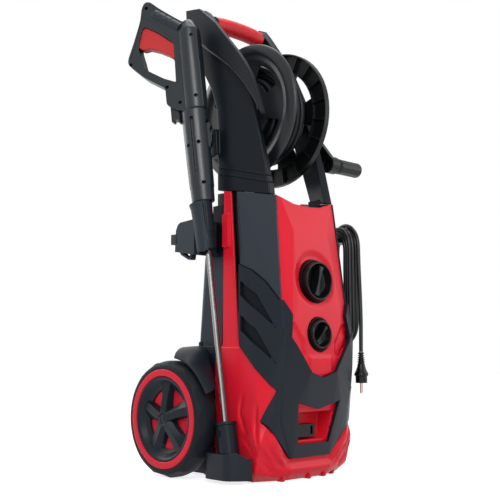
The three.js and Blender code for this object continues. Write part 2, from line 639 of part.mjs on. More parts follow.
// Wheel guards: an arched shell over the wheel, carried by an upright flange beside the rear housing.
// Stations from the rear to the front, [y, z] of the shell's outer edge, its middle and its edge at the body.
const guardStations = [
  [[56.5, 214], [78, 228], [97, 231]],
  [[30, 207], [48, 226], [70, 233]],
  [[6.5, 194], [20, 213], [46, 232]],
  [[-13.5, 175.5], [-4, 193], [26, 218]],
  [[-33, 151], [-27, 163], [21, 180]],
];
const guardFace = sideHalf + 6.4;
const guardEdges = [outerFace - 15, wheelInner - 4, guardFace];
const guardWall = 3.2;
const guardFoot = sideHalf - 6.5;
function guardSection(station) {
  return station.flatMap(([y, z], i) => {
    const radius = Math.hypot(y - axleY, z - axleZ);
    const lower = 1 - guardWall / radius;
    return [[guardEdges[i], y, z],
      [guardEdges[i], axleY + (y - axleY) * lower, axleZ + (z - axleZ) * lower]];
  });
}
const guardParts = [];
for (let i = 1; i < guardStations.length; i += 1) {
  const [rear, front] = [guardSection(guardStations[i - 1]), guardSection(guardStations[i])];
  guardParts.push(hull([...rear.slice(0, 4), ...front.slice(0, 4)]));
  guardParts.push(hull([...rear.slice(2), ...front.slice(2)]));
}
const flangeSide = [[rearSplit + 1, 40], [22, 40], [22, 180], [27, 214], [48, 227.5], [97, 226], [97, 231],
  [70, 233], [rearSplit + 1, 233]];
const guard = join(
  alongX(flangeSide, guardFoot, guardFace + 0.4),
  ...guardParts,
  turnedZ(rod(4, 230, 241), 106, 55, 12),
);
add('left_wheel_guard', mirrorX(guard), black);
add('right_wheel_guard', guard, black);

// ---------- knobs, bezels and what is behind them ----------

function bezel(radius, z, face, depth) {
  const outer = radius + bezelWall + moveGap;
  return cut(
    turnedY([[0, face], [outer, face], [outer, face + depth], [0, face + depth]], 0, z, 32),
    turnedY(rod(radius + moveGap, face - 1, face + depth - 3), 0, z, 32),
    turnedY(rod(stemRadius + fitGap, face, face + depth + 1), 0, z, 16),
  );
}
function knob(radius, z, face, depth, stem) {
  const bar = hull([[-8, face, z + radius - 3], [8, face, z + radius - 3], [-8, face, z - radius + 3],
    [8, face, z - radius + 3], [-5, face - 6, z + radius - 6], [5, face - 6, z + radius - 6],
    [-5, face - 6, z - radius + 6], [5, face - 6, z - radius + 6]]);
  return join(
    turnedY(rod(radius, face, face + depth), 0, z, 32),
    turnedY(ring(radius - 3, radius, face - 5, face + 0.5), 0, z, 32),
    bar,
    turnedY(rod(stemRadius, face + depth - 1, face + depth + stem), 0, z, 16),
  );
}
const powerFace = -137;
const dosingFace = -145;
const bezelDepth = 17;
const knobDepth = 9;
const bezelBridge = box(-8, 8, powerFace + 6.5, powerFace + bezelDepth - 1, 282.5, 310);
add('knob_bezels', join(bezel(powerKnobRadius, powerKnobZ, powerFace, bezelDepth),
  bezel(dosingKnobRadius, dosingKnobZ, dosingFace, bezelDepth), bezelBridge), black);
add('power_knob', knob(powerKnobRadius, powerKnobZ, powerFace + 2, knobDepth, 14), black);
add('dosing_knob', knob(dosingKnobRadius, dosingKnobZ, dosingFace + 2, knobDepth, 14), black);
const behind = (z, front, half) => cut(
  box(-half, half, front + bezelDepth + fitGap, front + bezelDepth + 26, z - half, z + half),
  turnedY(rod(stemRadius + fitGap, front, front + 30), 0, z, 16),
);
add('power_switch', behind(powerKnobZ, powerFace, 24), black);
add('dosing_valve', behind(dosingKnobZ, dosingFace, 18), iron);

// A black socket in the lower recess, with a slot.
const socket = cut(
  box(-38, 14, -118, recessFloor - fitGap, 74, 96),
  box(3, 8, -119, -106, 78, 92),
);
add('front_socket', socket, black);

// ---------- motor and pump ----------

const motorTop = motorFoot + motorLength;
const swashZ = motorFoot - 25;
const stator = cut(
  turnedZ(rod(motorRadius, motorFoot, motorTop), 0, motorY, 28),
  turnedZ(rod(36.5, motorFoot + 10, motorTop - 6), 0, motorY, 28),
  turnedZ(rod(shaftRadius + moveGap, 100, 500), 0, motorY, 16),
);
add('motor_stator', stator, iron);
const rotor = join(
  turnedZ(rod(35.5, motorFoot + 12, motorTop - 8), 0, motorY, 28),
  turnedZ(rod(shaftRadius, swashZ - 12, motorTop + 26), 0, motorY, 16),
);
add('motor_rotor', rotor, steel);
const blades = [];
for (let i = 0; i < 6; i += 1) {
  blades.push(box(12, 48, -1.5, 1.5, motorTop + 8, motorTop + 20).rotate([0, 0, i * 60]));
}
const fan = cut(
  join(turnedZ(rod(50, motorTop + 4, motorTop + 9), 0, 0, 24),
    turnedZ(rod(14, motorTop + 4, motorTop + 22), 0, 0, 16), ...blades),
  turnedZ(rod(shaftRadius + fitGap, 0, 500), 0, 0, 16),
).translate([0, motorY, 0]);
add('cooling_fan', fan, black);

const swash = cut(
  turnedZ(rod(27, -6, 6), 0, 0, 24).rotate([10, 0, 0]).translate([0, motorY, swashZ]),
  turnedZ(rod(shaftRadius + fitGap, 0, 500), 0, motorY, 16),
);
add('swash_plate', swash, steel);
const pumpHead = cut(
  join(
    box(-42, 42, motorY - 42, motorY + 40, 40, motorFoot - fitGap),
    box(-36, 36, motorY - 30, motorY + 30, panFloor + fitGap, 41),
    box(40, inletX + 13, motorY - 12, motorY + 14, inletZ - 13, inletZ + 13),
    box(-64, -40, motorY - 4, motorY + 22, 106, 130),
  ),
  turnedZ(rod(34, swashZ - 16, motorFoot + 5), 0, motorY, 24),
);
add('pump_head', pumpHead, iron);
const inlet = cut(
  turnedY([[0, motorY + 14 + fitGap], [11, motorY + 14 + fitGap], [11, 92], [15, 92], [15, 108],
    [0, 108]], inletX, inletZ, 20),
  turnedY(rod(7, 60, 110), inletX, inletZ, 16),
);
add('water_inlet', inlet, brass);
const hoseRun = [[-54, motorY + 9, 130.4], [-54, motorY + 9, 140], [-55, motorY + 9, 165], [-72, -14, 225],
  [-80, -22, 300], [-75, -30, 390],
  [-73.5, -28, 460], [-73.5, -28, deckZ - fitGap]];
add('pump_hose', tube(hoseRun, 7, 20, 8), rubber);

const tankTop = 200;
const tank = cut(
  join(box(-80, 30, 18, 57, panFloor + fitGap, tankTop), turnedZ(rod(16, tankTop - 1, tankTop + 16), -50, 39, 20)),
  box(-77, 27, 21, 54, panFloor + 4, tankTop - 3),
  turnedZ(rod(12, tankTop - 10, tankTop + 20), -50, 39, 16),
);
add('detergent_tank', tank, clear);
add('motor_capacitor', turnedZ(rod(17, tankTop + fitGap, tankTop + 84), 6, 39, 20), anthracite);

// ---------- stored gun and lance ----------

// Everything on the lance is built upright with its axis on z, then leaned back as one group.
const stored = new THREE.Group();
stored.position.set(lanceX, lanceY, lanceZ);
stored.rotation.set((-lanceTilt * Math.PI) / 180, 0, 0);
washer.add(stored);
const turnedGun = new THREE.Group();
turnedGun.rotation.z = (gunTurn * Math.PI) / 180;
stored.add(turnedGun);

// Outlines of the gun, [towards the guard, up the lance].
const gunOutline = [[-27, gunFoot + fitGap], [18, gunFoot + fitGap], [33, 669], [49, 683], [49, 718],
  [60, 725], [89, 749], [120, 784], [120, 793], [104, 826], [87, 865], [81, 895], [74, 904], [66, 903],
  [46, 882], [22, 861], [2, 843], [-13, 839], [-27, 821]];
const triggerOutline = [[82, 853], [78, 855], [54, 835], [30, 811], [20, 806], [16, 800], [16, 790],
  [22, 780], [30, 777], [38, 787], [73, 808], [84, 807], [95, 813], [97, 819], [87, 848]];
const guardOpening = [[27, 734], [31, 731], [73, 756], [88, 780], [91, 791], [99, 818], [88, 854],
  [79, 859], [52, 839], [27, 812], [26, 802]];
const travelSlot = [[12.5, 800], [12.5, 788], [18, 777], [28, 773], [99, 812], [99, 818], [90, 862],
  [78, 869], [44, 846], [20, 822], [14, 810]];
const pivotX = 22;
const pivotZ = 794;
const alongGun = (outline, half) => alongY(outline, -half, half);
const barrel = turnedZ([[0, gunFoot + fitGap], [22, gunFoot + fitGap], [23, 700], [22, 826],
  [15, 842], [0, 849]], 0, 0, 16).scale([1, 0.9, 1]).translate([-4, 0, 0]);
const gunBody = cut(
  join(alongGun(gunOutline, gunHalf), barrel, box(27.5, 45, -8, 8, 648, 690)),
  alongGun(guardOpening, 40),
  alongGun(travelSlot, triggerHalf + moveGap),
  turnedY(rod(2.6 + fitGap, -gunHalf + 1, gunHalf - 1), pivotX, pivotZ, 12),
  box(31, 40, -9, 9, 653, 663),
);
add('gun_body', gunBody, anthracite, turnedGun);
add('trigger', join(alongGun(triggerOutline, triggerHalf),
  turnedY(rod(2.6, -gunHalf + 1.4, gunHalf - 1.4), pivotX, pivotZ, 12)), red, turnedGun);

const ellipse = (a, b, count = 20) => Array.from({ length: count }, (_, i) => {
  const turn = (2 * Math.PI * i) / count;
  return [a * Math.cos(turn), b * Math.sin(turn)];
});
const grip = hull([
  ...ellipse(25, 20).map(([x, y]) => [x, y, gunFoot]), ...ellipse(24, 20).map(([x, y]) => [x, y, 560]),
  ...ellipse(21, 18).map(([x, y]) => [x, y, handleFoot]),
]);
const collar = turnedZ([[0, collarFoot], [collarRadius - 1, collarFoot], [collarRadius, 440],
  [collarRadius + 1, handleFoot + 1], [0, handleFoot + 1]], 0, 0, 20);
const latchPocket = box(-40, -15, -8, 8, 596, 640);
const lanceHandle = cut(
  join(grip, collar),
  latchPocket,
  box(6, 12, 14, 30, 542, 650),
  turnedZ(rod(rodRadius + fitGap, 0, collarFoot + 30), 0, 0, 16),
);
add('lance_handle', lanceHandle, anthracite, turnedGun);
add('lance_latch', hull([[-19.4, -7, 602], [-19.4, 7, 602], [-19.4, -7, 634], [-19.4, 7, 634], [-31, -6, 604],
  [-31, 6, 604], [-29, -6, 632], [-29, 6, 632]]), black, turnedGun);
const rodProfile = rod(rodRadius, nozzleLength + fitGap, collarFoot + 30 - fitGap);
add('lance_rod', turnedZ(rodProfile, 0, 0, 16), steel, turnedGun);
const nozzleProfile = [[0, 0], [nozzleRadius - 1.5, 0], [nozzleRadius, 2],
  [nozzleRadius - 0.5, nozzleLength - 5], [nozzleRadius + 0.8, nozzleLength - 5],
  [nozzleRadius + 0.8, nozzleLength], [0, nozzleLength]];
add('lance_nozzle', turnedZ(nozzleProfile, 0, 0, 24), black, turnedGun);

// Places on the lance in the machine's own axes.
const leanBack = (body) => body.rotate([-lanceTilt, 0, 0]).translate([lanceX, lanceY, lanceZ]);

// The holder on the rear housing: a box bracket, a peg, a hook and a clip round the lance's collar.
const clipRadius = collarRadius + 1.6;
const clip = leanBack(cut(
  turnedZ([[0, collarFoot + 4], [clipRadius + 3, collarFoot + 4], [clipRadius + 3.5, 470],
    [clipRadius + 9, handleFoot - 3], [0, handleFoot - 3]], 0, 0, 24),
  turnedZ([[0, 0], [clipRadius, 0], [clipRadius, 470], [clipRadius + 5, 500], [0, 500]], 0, 0, 24),
  box(-60, 60, -60, 0, 380, 500),
));
const holderBack = sideHalf - 13;
const plateX = -154;
const holder = cut(
  join(
    alongX([[20, 404], [80, 404], [80, 448], [66, 462], [20, 462]], plateX, -holderBack),
    box(plateX, plateX + 12, 78, 92, 424, 444),
    box(plateX, plateX + 14, 42, 70, 388, 405),
    box(-100, -holderBack, rearSplit + 2.5, 30, 404, 492),
    clip,
  ),
  leanBack(turnedZ([[0, 0], [clipRadius, 0], [clipRadius, 470], [clipRadius + 5, 500], [0, 500]], 0, 0, 24)),
  box(plateX + 6, -holderBack - 6, 30, 72, 380, 456),
);
add('lance_holder', holder, anthracite);

// The cup for the nozzle on the left of the lower cover.
const cupBack = sideHalf + 9;
const cupPlan = [[-cupBack, -8], [-160, -18], [-160, -77], [-122, -99], [-cupBack, -96]];
const cupInner = grown(cupPlan, -2.4);
const cupFloor = 7;
const cupRim = 47;
const cup = cut(
  alongZ(cupPlan, cupFloor, cupRim),
  alongZ(cupInner, cupFloor + 3, cupRim + 1),
  alongY([[-147, cupRim + 1], [-130, 33], [-116, 44], [-116, cupRim + 1]], -130, -75),
);
add('lance_cup', cup, black);

// ---------- mains lead ----------

// Hank axes: out from the body, along the hank towards the rear, and up.
const hankSpin = (hankTurn * Math.PI) / 180;
const outward = [Math.cos(hankSpin), Math.sin(hankSpin)];
const along = [-outward[1], outward[0]];
const onHank = (out, back, z) => [hankX + out * outward[0] + back * along[0],
  hankY + out * outward[1] + back * along[1], z];
const hankThick = 3 * cordDiameter;
function stadium(half, foot, top, count = 8) {
  const outline = [];
  for (let i = 0; i <= count; i += 1) {
    const turn = (Math.PI * i) / count;
    outline.push([half * Math.cos(turn), top - half + half * Math.sin(turn)]);
  }
  for (let i = 0; i <= count; i += 1) {
    const turn = Math.PI + (Math.PI * i) / count;
    outline.push([half * Math.cos(turn), foot + half + half * Math.sin(turn)]);
  }
  return outline;
}
const placeHank = (body) => body.rotate([0, 0, hankTurn]).translate([hankX, hankY, 0]);
const hank = placeHank(alongX(stadium(hankHalf, hankBottom, hankTop), -hankThick / 2, hankThick / 2,
  stadium(hankHalf - hankThick, hankBottom + hankThick, hankTop - hankThick)));
add('cord_hank', hank, rubber);

// Each hook is a curved saddle inside the wound lead, with a lip in front of it.
const saddleRadius = hankHalf - hankThick - moveGap;
function hook(centre, way) {
  const at = (radius, turn) => [radius * Math.cos((turn * Math.PI) / 180),
    centre + way * radius * Math.sin((turn * Math.PI) / 180)];
  const saddle = [35, 63, 90, 117, 145].map((turn) => at(saddleRadius, turn));
  const lip = [[-9, centre + way * 10], [9, centre + way * 10], [7, centre + way * (hankHalf - 6)],
    [-7, centre + way * (hankHalf - 6)]];
  const outside = hankThick / 2 + 1.5;
  return placeHank(join(alongX([...saddle, at(10, 120), at(10, 60)], -40, outside + 4),
    alongX(lip, outside, outside + 4)));
}
const upperHook = hook(hankTop - hankHalf, 1);
const lowerHook = hook(hankBottom + hankHalf, -1);
add('upper_hook', cut(upperHook, skin(columnProud + fitGap)), black);
add('lower_hook', cut(lowerHook, skin(shieldProud + fitGap)), black);

const leadZ = hankTop - cordDiameter / 2 - 0.3;
const glandX = sideHalf + 12;
const gland = join(
  box(sideHalf + 0.8, glandX + 7, -9, rearSplit, leadZ - 9, leadZ + 9),
  turnedY([[0, -34], [5, -34], [8, -8], [0, -8]], glandX, leadZ, 16),
);
add('cord_gland', gland, black);
const leadEnd = onHank(-cordDiameter, 27, leadZ);
const lead = [[glandX, -34 - fitGap, leadZ], [glandX + 0.4, -40, leadZ], [glandX + 2, -50, leadZ],
  onHank(-cordDiameter, 34, leadZ), leadEnd];
add('cord_lead', tube(lead, cordDiameter / 2, 12, 8), rubber);
const plugTop = 222;
const tailOut = hankHalf + cordDiameter / 2 + fitGap;
const plugPlace = onHank(cordDiameter, -tailOut - 4, 0);
const tail = [onHank(cordDiameter, -tailOut, 408), onHank(cordDiameter, -tailOut - 1, 380),
  onHank(cordDiameter, -tailOut - 3.5, 330), onHank(cordDiameter, -tailOut - 5, 280),
  onHank(cordDiameter, -tailOut - 4.4, 245), [plugPlace[0], plugPlace[1], plugTop + fitGap]];
add('cord_tail', tube(tail, cordDiameter / 2, 14, 8), rubber);
const pins = both(turnedZ(rod(2.4, 146, 168), 8.5, 0, 10));
const plug = join(
  turnedZ([[0, plugTop], [5, plugTop], [7, 200], [11, 194], [15.5, 190], [15.5, 168], [13, 165],
    [0, 165]], 0, 0, 20),
  pins,
).rotate([0, 0, 35]).translate([plugPlace[0], plugPlace[1], 0]);
add('mains_plug', plug, black);

export default washer;
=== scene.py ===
# Pressure washer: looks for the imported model, in metres, front facing -Y, floor at z = 0.
import json
from math import atan2, cos, degrees, hypot, pi, radians, sin, sqrt

import bmesh
import bpy
from mathutils import Matrix, Vector

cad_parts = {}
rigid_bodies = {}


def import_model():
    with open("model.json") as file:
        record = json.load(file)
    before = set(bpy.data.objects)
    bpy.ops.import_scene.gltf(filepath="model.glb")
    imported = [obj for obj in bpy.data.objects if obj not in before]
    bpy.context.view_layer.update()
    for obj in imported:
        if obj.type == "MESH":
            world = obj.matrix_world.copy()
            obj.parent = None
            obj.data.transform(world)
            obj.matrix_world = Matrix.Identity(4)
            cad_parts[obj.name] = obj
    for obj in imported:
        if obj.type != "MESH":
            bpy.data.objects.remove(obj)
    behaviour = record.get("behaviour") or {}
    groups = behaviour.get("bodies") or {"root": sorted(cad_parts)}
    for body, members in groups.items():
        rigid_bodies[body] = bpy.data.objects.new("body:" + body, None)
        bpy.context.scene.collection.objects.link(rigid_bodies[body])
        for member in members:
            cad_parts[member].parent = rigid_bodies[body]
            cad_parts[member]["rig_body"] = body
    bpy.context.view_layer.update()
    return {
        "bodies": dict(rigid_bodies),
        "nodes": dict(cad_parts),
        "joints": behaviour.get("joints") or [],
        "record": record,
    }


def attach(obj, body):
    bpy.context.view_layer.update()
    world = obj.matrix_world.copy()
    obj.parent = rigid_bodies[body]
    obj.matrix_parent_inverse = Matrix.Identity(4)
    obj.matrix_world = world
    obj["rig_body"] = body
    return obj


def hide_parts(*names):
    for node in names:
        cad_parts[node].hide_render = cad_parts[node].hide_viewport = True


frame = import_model()
nodes = frame["nodes"]
mm = 0.001
sides = {-1: "left", 1: "right"}
print("frame loaded:", len(nodes), "nodes")


def linked(name, data):  # a new object in the scene
    thing = bpy.data.objects.new(name, data)
    bpy.context.scene.collection.objects.link(thing)
    return thing


def meshOf(name, made):  # a mesh from a bmesh, which is freed
    mesh = bpy.data.meshes.new(name)
    made.to_mesh(mesh)
    made.free()
    return mesh


cameraView = {"place": (-1.1531, -1.1677, 0.2242), "lens": 62.2, "sensor": 36, "tilt": 96.66, "turn": -43.81}
cameraData = bpy.data.cameras.new("camera")
cameraData.lens = cameraView["lens"]
cameraData.sensor_width = cameraView["sensor"]
camera = linked("camera", cameraData)
camera.location = cameraView["place"]
camera.rotation_euler = (radians(cameraView["tilt"]), 0, radians(cameraView["turn"]))
bpy.context.scene.camera = camera
bpy.context.scene.view_settings.view_transform = "Standard"


class Wire:  # a shader socket that turns Python sums into Math nodes
    def __init__(self, shader, socket):
        self.shader = shader
        self.socket = socket

    def maths(self, operation, other):
        return self.shader.node("Math", {"operation": operation}, {0: self, 1: other})

    def __add__(self, other):
        return self.maths("ADD", other)

    def __mul__(self, other):
        return self.maths("MULTIPLY", other)

    __radd__ = __add__


class Shader:  # a node tree and the one method that fills it
    def __init__(self, owner):
        owner.use_nodes = True
        self.tree = owner.node_tree
        self.tree.nodes.clear()

    def node(self, kind, settings=None, sockets=None, out=0):
        made = self.tree.nodes.new("ShaderNode" + kind)
        for key, value in (settings or {}).items():
            setattr(made, key, value)
        for key, value in (sockets or {}).items():
            if isinstance(value, Wire):
                self.tree.links.new(value.socket, made.inputs[key])
            else:
                made.inputs[key].default_value = value
        return Wire(self, made.outputs[out]) if made.outputs else None


def paint(colour):  # a screen colour as the linear one that shaders take
    shares = [value / 255 for value in colour]
    return (*[share / 12.92 if share <= 0.04045 else ((share + 0.055) / 1.055) ** 2.4 for share in shares], 1)


studio = {"world": 0.5, "floorGlow": 0.8, "floorTone": (0.5, 0.5, 0.5, 1), "floorSize": 6, "aim": (0, 0, 0.45)}
lamps = {
    "key": {"place": (-1.7, -1.5, 1.7), "size": 1.1, "power": 31},
    "fill": {"place": (1.6, -1.4, 1.0), "size": 1.2, "power": 8},
    "top": {"place": (0.1, 0.2, 2.4), "size": 1.4, "power": 20},
    "rear": {"place": (-0.6, 2.0, 1.3), "size": 1.4, "power": 14},
    "strip": {"place": (-1.45, -2.2, 0.7), "size": 0.3, "tall": 1.5, "power": 9},
}


def shownTo(shader, *kinds):  # 1 for these kinds of ray and 0 for the others
    total, *others = [shader.node("LightPath", {}, {}, kind) for kind in kinds]
    for other in others:
        total = shader.node("Math", {"operation": "ADD", "use_clamp": True}, {0: total, 1: other})
    return total


def makeWorld():
    world = bpy.data.worlds.new("studio")
    bpy.context.scene.world = world
    shader = Shader(world)
    shown = shownTo(shader, "Is Camera Ray", "Is Glossy Ray", "Is Transmission Ray")
    strength = shown * (1 - studio["world"]) + studio["world"]
    background = shader.node("Background", {}, {"Color": (1, 1, 1, 1), "Strength": strength})
    shader.node("OutputWorld", {}, {"Surface": background})


def makeFloor():
    ground = bmesh.new()
    bmesh.ops.create_grid(ground, x_segments=1, y_segments=1, size=studio["floorSize"])
    floor = linked("floor", meshOf("floor", ground))
    material = bpy.data.materials.new("floor")
    shader = Shader(material)
    matt = shader.node("BsdfDiffuse", {}, {"Color": studio["floorTone"]})
    strength = shownTo(shader, "Is Camera Ray", "Is Glossy Ray") * studio["floorGlow"]
    glow = shader.node("Emission", {}, {"Strength": strength})
    both = shader.node("AddShader", {}, {0: matt, 1: glow})
    shader.node("OutputMaterial", {}, {"Surface": both})
    floor.data.materials.append(material)


def makeLamp(name, lamp):
    data = bpy.data.lights.new(name, "AREA")
    data.shape = "RECTANGLE" if "tall" in lamp else "DISK"
    data.size = lamp["size"]
    data.size_y = lamp.get("tall", lamp["size"])
    data.energy = lamp["power"]
    light = linked(name, data)
    light.location = lamp["place"]
    aim = Vector(studio["aim"]) - light.location
    light.rotation_euler = aim.to_track_quat("-Z", "Y").to_euler()


makeWorld()
makeFloor()
for name, lamp in lamps.items():
    makeLamp(name, lamp)
print("stage ready")

# dark and light are screen colours, grain is in features per metre and depth in micrometres
plasticKeys = ("slot", "dark", "light", "rough", "sheen", "grain", "depth", "bump")
plastics = {
    "red": ("red_plastic", (206, 20, 40), (224, 30, 52), 0.34, 0.2, 900, 20, 0.2),
    "wheelRed": ("red_plastic", (198, 24, 46), (218, 34, 58), 0.4, 0.18, 1200, 20, 0.3),
    "gripRed": ("red_plastic", (182, 12, 26), (206, 22, 36), 0.48, 0.4, 1500, 40, 0.4),
    "triggerRed": ("red_plastic", (172, 40, 42), (192, 52, 52), 0.4, 0.25, 1200, 20, 0.3),
    "shieldGrey": ("black_plastic", (18, 25, 33), (26, 33, 42), 0.32, 0.18, 1600, 40, 0.35),
    "columnGrey": ("anthracite_plastic", (35, 42, 49), (45, 52, 60), 0.36, 0.22, 1600, 40, 0.35),
    "armGrey": ("anthracite_plastic", (11, 17, 23), (17, 24, 31), 0.36, 0.15, 1500, 50, 0.4),
    "rearGrey": ("anthracite_plastic", (33, 41, 49), (42, 50, 59), 0.5, 0.18, 1400, 50, 0.45),
    "gunGrey": ("anthracite_plastic", (17, 25, 31), (26, 35, 41), 0.32, 0.42, 1800, 50, 0.4),
    "trimGrey": ("black_plastic", (17, 24, 31), (24, 32, 40), 0.36, 0.16, 1500, 50, 0.4),
    "black": ("black_plastic", (3, 4, 6), (8, 10, 12), 0.34, 0.24, 1500, 40, 0.3),
    # a darker copy of the black plastic, painted shade for the gun window's walls, the flange face and the
    # louvre floors
    "deepGrey": ("black_plastic", (5, 9, 15), (9, 14, 21), 0.5, 0.12, 1500, 40, 0.3),
    "reelGrey": ("black_plastic", (13, 17, 21), (22, 27, 31), 0.33, 0.36, 1300, 60, 0.45),
    "reelBlack": ("black_plastic", (3, 5, 6), (9, 11, 13), 0.4, 0.24, 1300, 60, 0.45),
    "tyre": ("tyre_black", (13, 17, 22), (21, 26, 32), 0.55, 0.14, 1100, 120, 0.6),
    "hose": ("hose_rubber", (12, 15, 17), (20, 24, 27), 0.42, 0.24, 700, 80, 0.4),
    "lead": ("hose_rubber", (12, 15, 16), (20, 23, 26), 0.36, 0.4, 900, 50, 0.3),
    "tank": ("tank_plastic", (205, 210, 208), (222, 226, 224), 0.4, 0.5, 500, 50, 0.3),
}
# stretch is in streaks per metre, turn tilts them in degrees, from and to set their contrast
metalKeys = ("slot", "dark", "light", "rough", "stretch", "turn", "from", "to")
metals = {
    # the stainless rod's sharp near-black and near-white streaks are painted reflection of dark and bright
    # surroundings, over its brushed grain
    "stainless": ("stainless", (26, 24, 24), (226, 224, 222), 0.22, (210, 210, 0.3), -9, 0.43, 0.66),
    "zinc": ("zinc_steel", (150, 152, 156), (190, 192, 196), 0.32, (12, 700, 700), 0, 0, 1),
    "pinMetal": ("brass", (176, 140, 132), (212, 190, 184), 0.3, (500, 500, 30), 0, 0, 1),
    "brass": ("brass", (176, 140, 70), (206, 172, 96), 0.3, (400, 30, 400), 0, 0, 1),
    "pump": ("pump_metal", (132, 136, 140), (168, 172, 176), 0.5, (220, 220, 220), 0, 0, 1),
    "motor": ("motor_metal", (84, 88, 92), (112, 116, 120), 0.5, (60, 60, 500), 0, 0, 1),
}


def noiseAt(shader, place, scale, detail=2, roughness=0.5):
    return shader.node("TexNoise", {}, {"Vector": place, "Scale": scale, "Detail": detail,
                                        "Roughness": roughness})


def mixed(shader, share, look):
    colours = {0: share, 6: paint(look["dark"]), 7: paint(look["light"])}
    return shader.node("Mix", {"data_type": "RGBA"}, colours, 2)


def plastic(shader, place, look):  # moulded grain with a faint unevenness
    cloud = noiseAt(shader, place, 14, 4)
    speck = noiseAt(shader, place, look["grain"] / 4)
    grain = noiseAt(shader, place, look["grain"], 2, 0.6)
    bump = shader.node("Bump", {}, {"Strength": look["bump"], "Distance": look["depth"] * 1e-6,
                                    "Height": grain * 0.7 + speck * 0.3})
    return {"Base Color": mixed(shader, cloud * 0.75 + speck * 0.25, look), "Normal": bump,
            "Roughness": look["rough"] - 0.09 + cloud * 0.12 + speck * 0.06,
            "Specular IOR Level": look["sheen"]}


def metal(shader, place, look):  # streaks drawn out along the piece, as brushed grain; with close from and to, as on stainless, they become sharp dark and light bands of painted reflection
    level = shader.node("Mapping", {"vector_type": "TEXTURE"},
                        {"Vector": place, "Rotation": (radians(look["turn"]), 0, 0)})
    drawn = shader.node("Mapping", {}, {"Vector": level, "Scale": look["stretch"]})
    streak = noiseAt(shader, drawn, 1, 4, 0.6)
    cloud = noiseAt(shader, place, 22, 3)
    band = shader.node("MapRange", {"interpolation_type": "SMOOTHSTEP"},
                       {"Value": streak, "From Min": look["from"], "From Max": look["to"]})
    bump = shader.node("Bump", {}, {"Strength": 0.15, "Distance": 0.00003, "Height": streak})
    return {"Base Color": mixed(shader, band * 0.85 + cloud * 0.15, look), "Metallic": 1.0,
            "Roughness": look["rough"] - 0.07 + streak * 0.14, "Normal": bump}


finishes = {}
for kind, keys, table in ((plastic, plasticKeys, plastics), (metal, metalKeys, metals)):
    for name, row in table.items():
        look = dict(zip(keys, row))
        material = bpy.data.materials.new(name)
        shader = Shader(material)
        skin = shader.node("BsdfPrincipled", {}, kind(shader, shader.node("TexCoord", {}, {}, "Object"), look))
        shader.node("OutputMaterial", {}, {"Surface": skin})
        finishes[name] = (material, look["slot"])
print("finishes ready:", len(finishes))


def point(x, y, z):  # millimetres to metres
    return Vector((x * mm, y * mm, z * mm))


def copyOf(node):  # a CAD node's mesh, merged and with its flat faces made whole
    made = bmesh.new()
    made.from_mesh(nodes[node].data)
    bmesh.ops.remove_doubles(made, verts=made.verts, dist=0.02 * mm)
    bmesh.ops.dissolve_limit(made, angle_limit=radians(1), verts=made.verts, edges=made.edges, delimit=set())
    return made


def gathered(parts):  # several bmeshes as one
    whole = parts[0]
    for part in parts[1:]:
        mesh = meshOf("part", part)
        whole.from_mesh(mesh)
        bpy.data.meshes.remove(mesh)
    return whole


def faceOut(made):
    bmesh.ops.remove_doubles(made, verts=made.verts, dist=0.002 * mm)
    bmesh.ops.recalc_face_normals(made, faces=made.faces)
    return made


def turned(profile, steps, centre=(0, 0, 0), axis=(0, 0, 1)):  # profile of (radius, place along the axis)
    made = bmesh.new()
    axis = Vector(axis)
    side = Vector((0, 0, 1)) if abs(axis.z) < 0.5 else Vector((1, 0, 0))
    centre = point(*centre)
    line = [made.verts.new(centre + axis * (place * mm) + side * (radius * mm)) for radius, place in profile]
    ends = line[1:] + line[:1] if profile[0][0] > 0 else line[1:]  # a profile off the axis closes on itself
    edges = [made.edges.new(pair) for pair in zip(line, ends)]
    bmesh.ops.spin(made, geom=line + edges, cent=centre, axis=axis, angle=2 * pi, steps=steps,
                   use_merge=True)
    return faceOut(made)


def lofted(sections):  # a skin through loops of millimetre points, capped at both ends
    made = bmesh.new()
    loops = []
    for section in sections:
        ring = [made.verts.new(point(*corner)) for corner in section]
        loops.append([made.edges.new(pair) for pair in zip(ring, ring[1:] + ring[:1])])
    for first, second in zip(loops, loops[1:]):
        bmesh.ops.bridge_loops(made, edges=first + second)
    for loop in (loops[0], loops[-1]):
        bmesh.ops.contextual_create(made, geom=loop)
    return faceOut(made)


def rounded(made, geom, width, segments, affect="EDGES"):
    bmesh.ops.bevel(made, geom=geom, offset=width * mm, segments=segments, profile=0.5, affect=affect,
                    clamp_overlap=True, material=-1)
    return made


def bevelled(made, width, angle=40, segments=2):  # rounds every edge sharper than an angle
    sharp = [edge for edge in made.edges
             if len(edge.link_faces) == 2 and edge.calc_face_angle(0) > radians(angle)]
    return rounded(made, sharp, width, segments)


def slab(corners, path, radius=0):  # an outline of mm points, its corners rounded, pushed along a vector
    made = bmesh.new()
    made.faces.new([made.verts.new(point(*corner)) for corner in corners])
    if radius:
        rounded(made, made.verts[:], radius, 3, "VERTICES")
    pushed = bmesh.ops.extrude_face_region(made, geom=made.faces[:])
    moved = [item for item in pushed["geom"] if isinstance(item, bmesh.types.BMVert)]
    bmesh.ops.translate(made, verts=moved, vec=point(*path))
    return faceOut(made)


def placed(made, matrix):
    bmesh.ops.transform(made, matrix=matrix, verts=made.verts)
    return made


def mirrored(made):
    bmesh.ops.scale(made, vec=(-1, 1, 1), verts=made.verts)
    bmesh.ops.reverse_faces(made, faces=made.faces)
    return made


def cylinder(radius, start, path, segments=20):  # a closed round bar from a point along a vector, in mm
    made = bmesh.new()
    way = point(*path)
    bmesh.ops.create_cone(made, cap_ends=True, segments=segments, radius1=radius * mm, radius2=radius * mm,
                          depth=way.length)
    turn = way.to_track_quat("Z", "Y").to_matrix().to_4x4()
    return placed(made, Matrix.Translation(point(*start) + way / 2) @ turn)


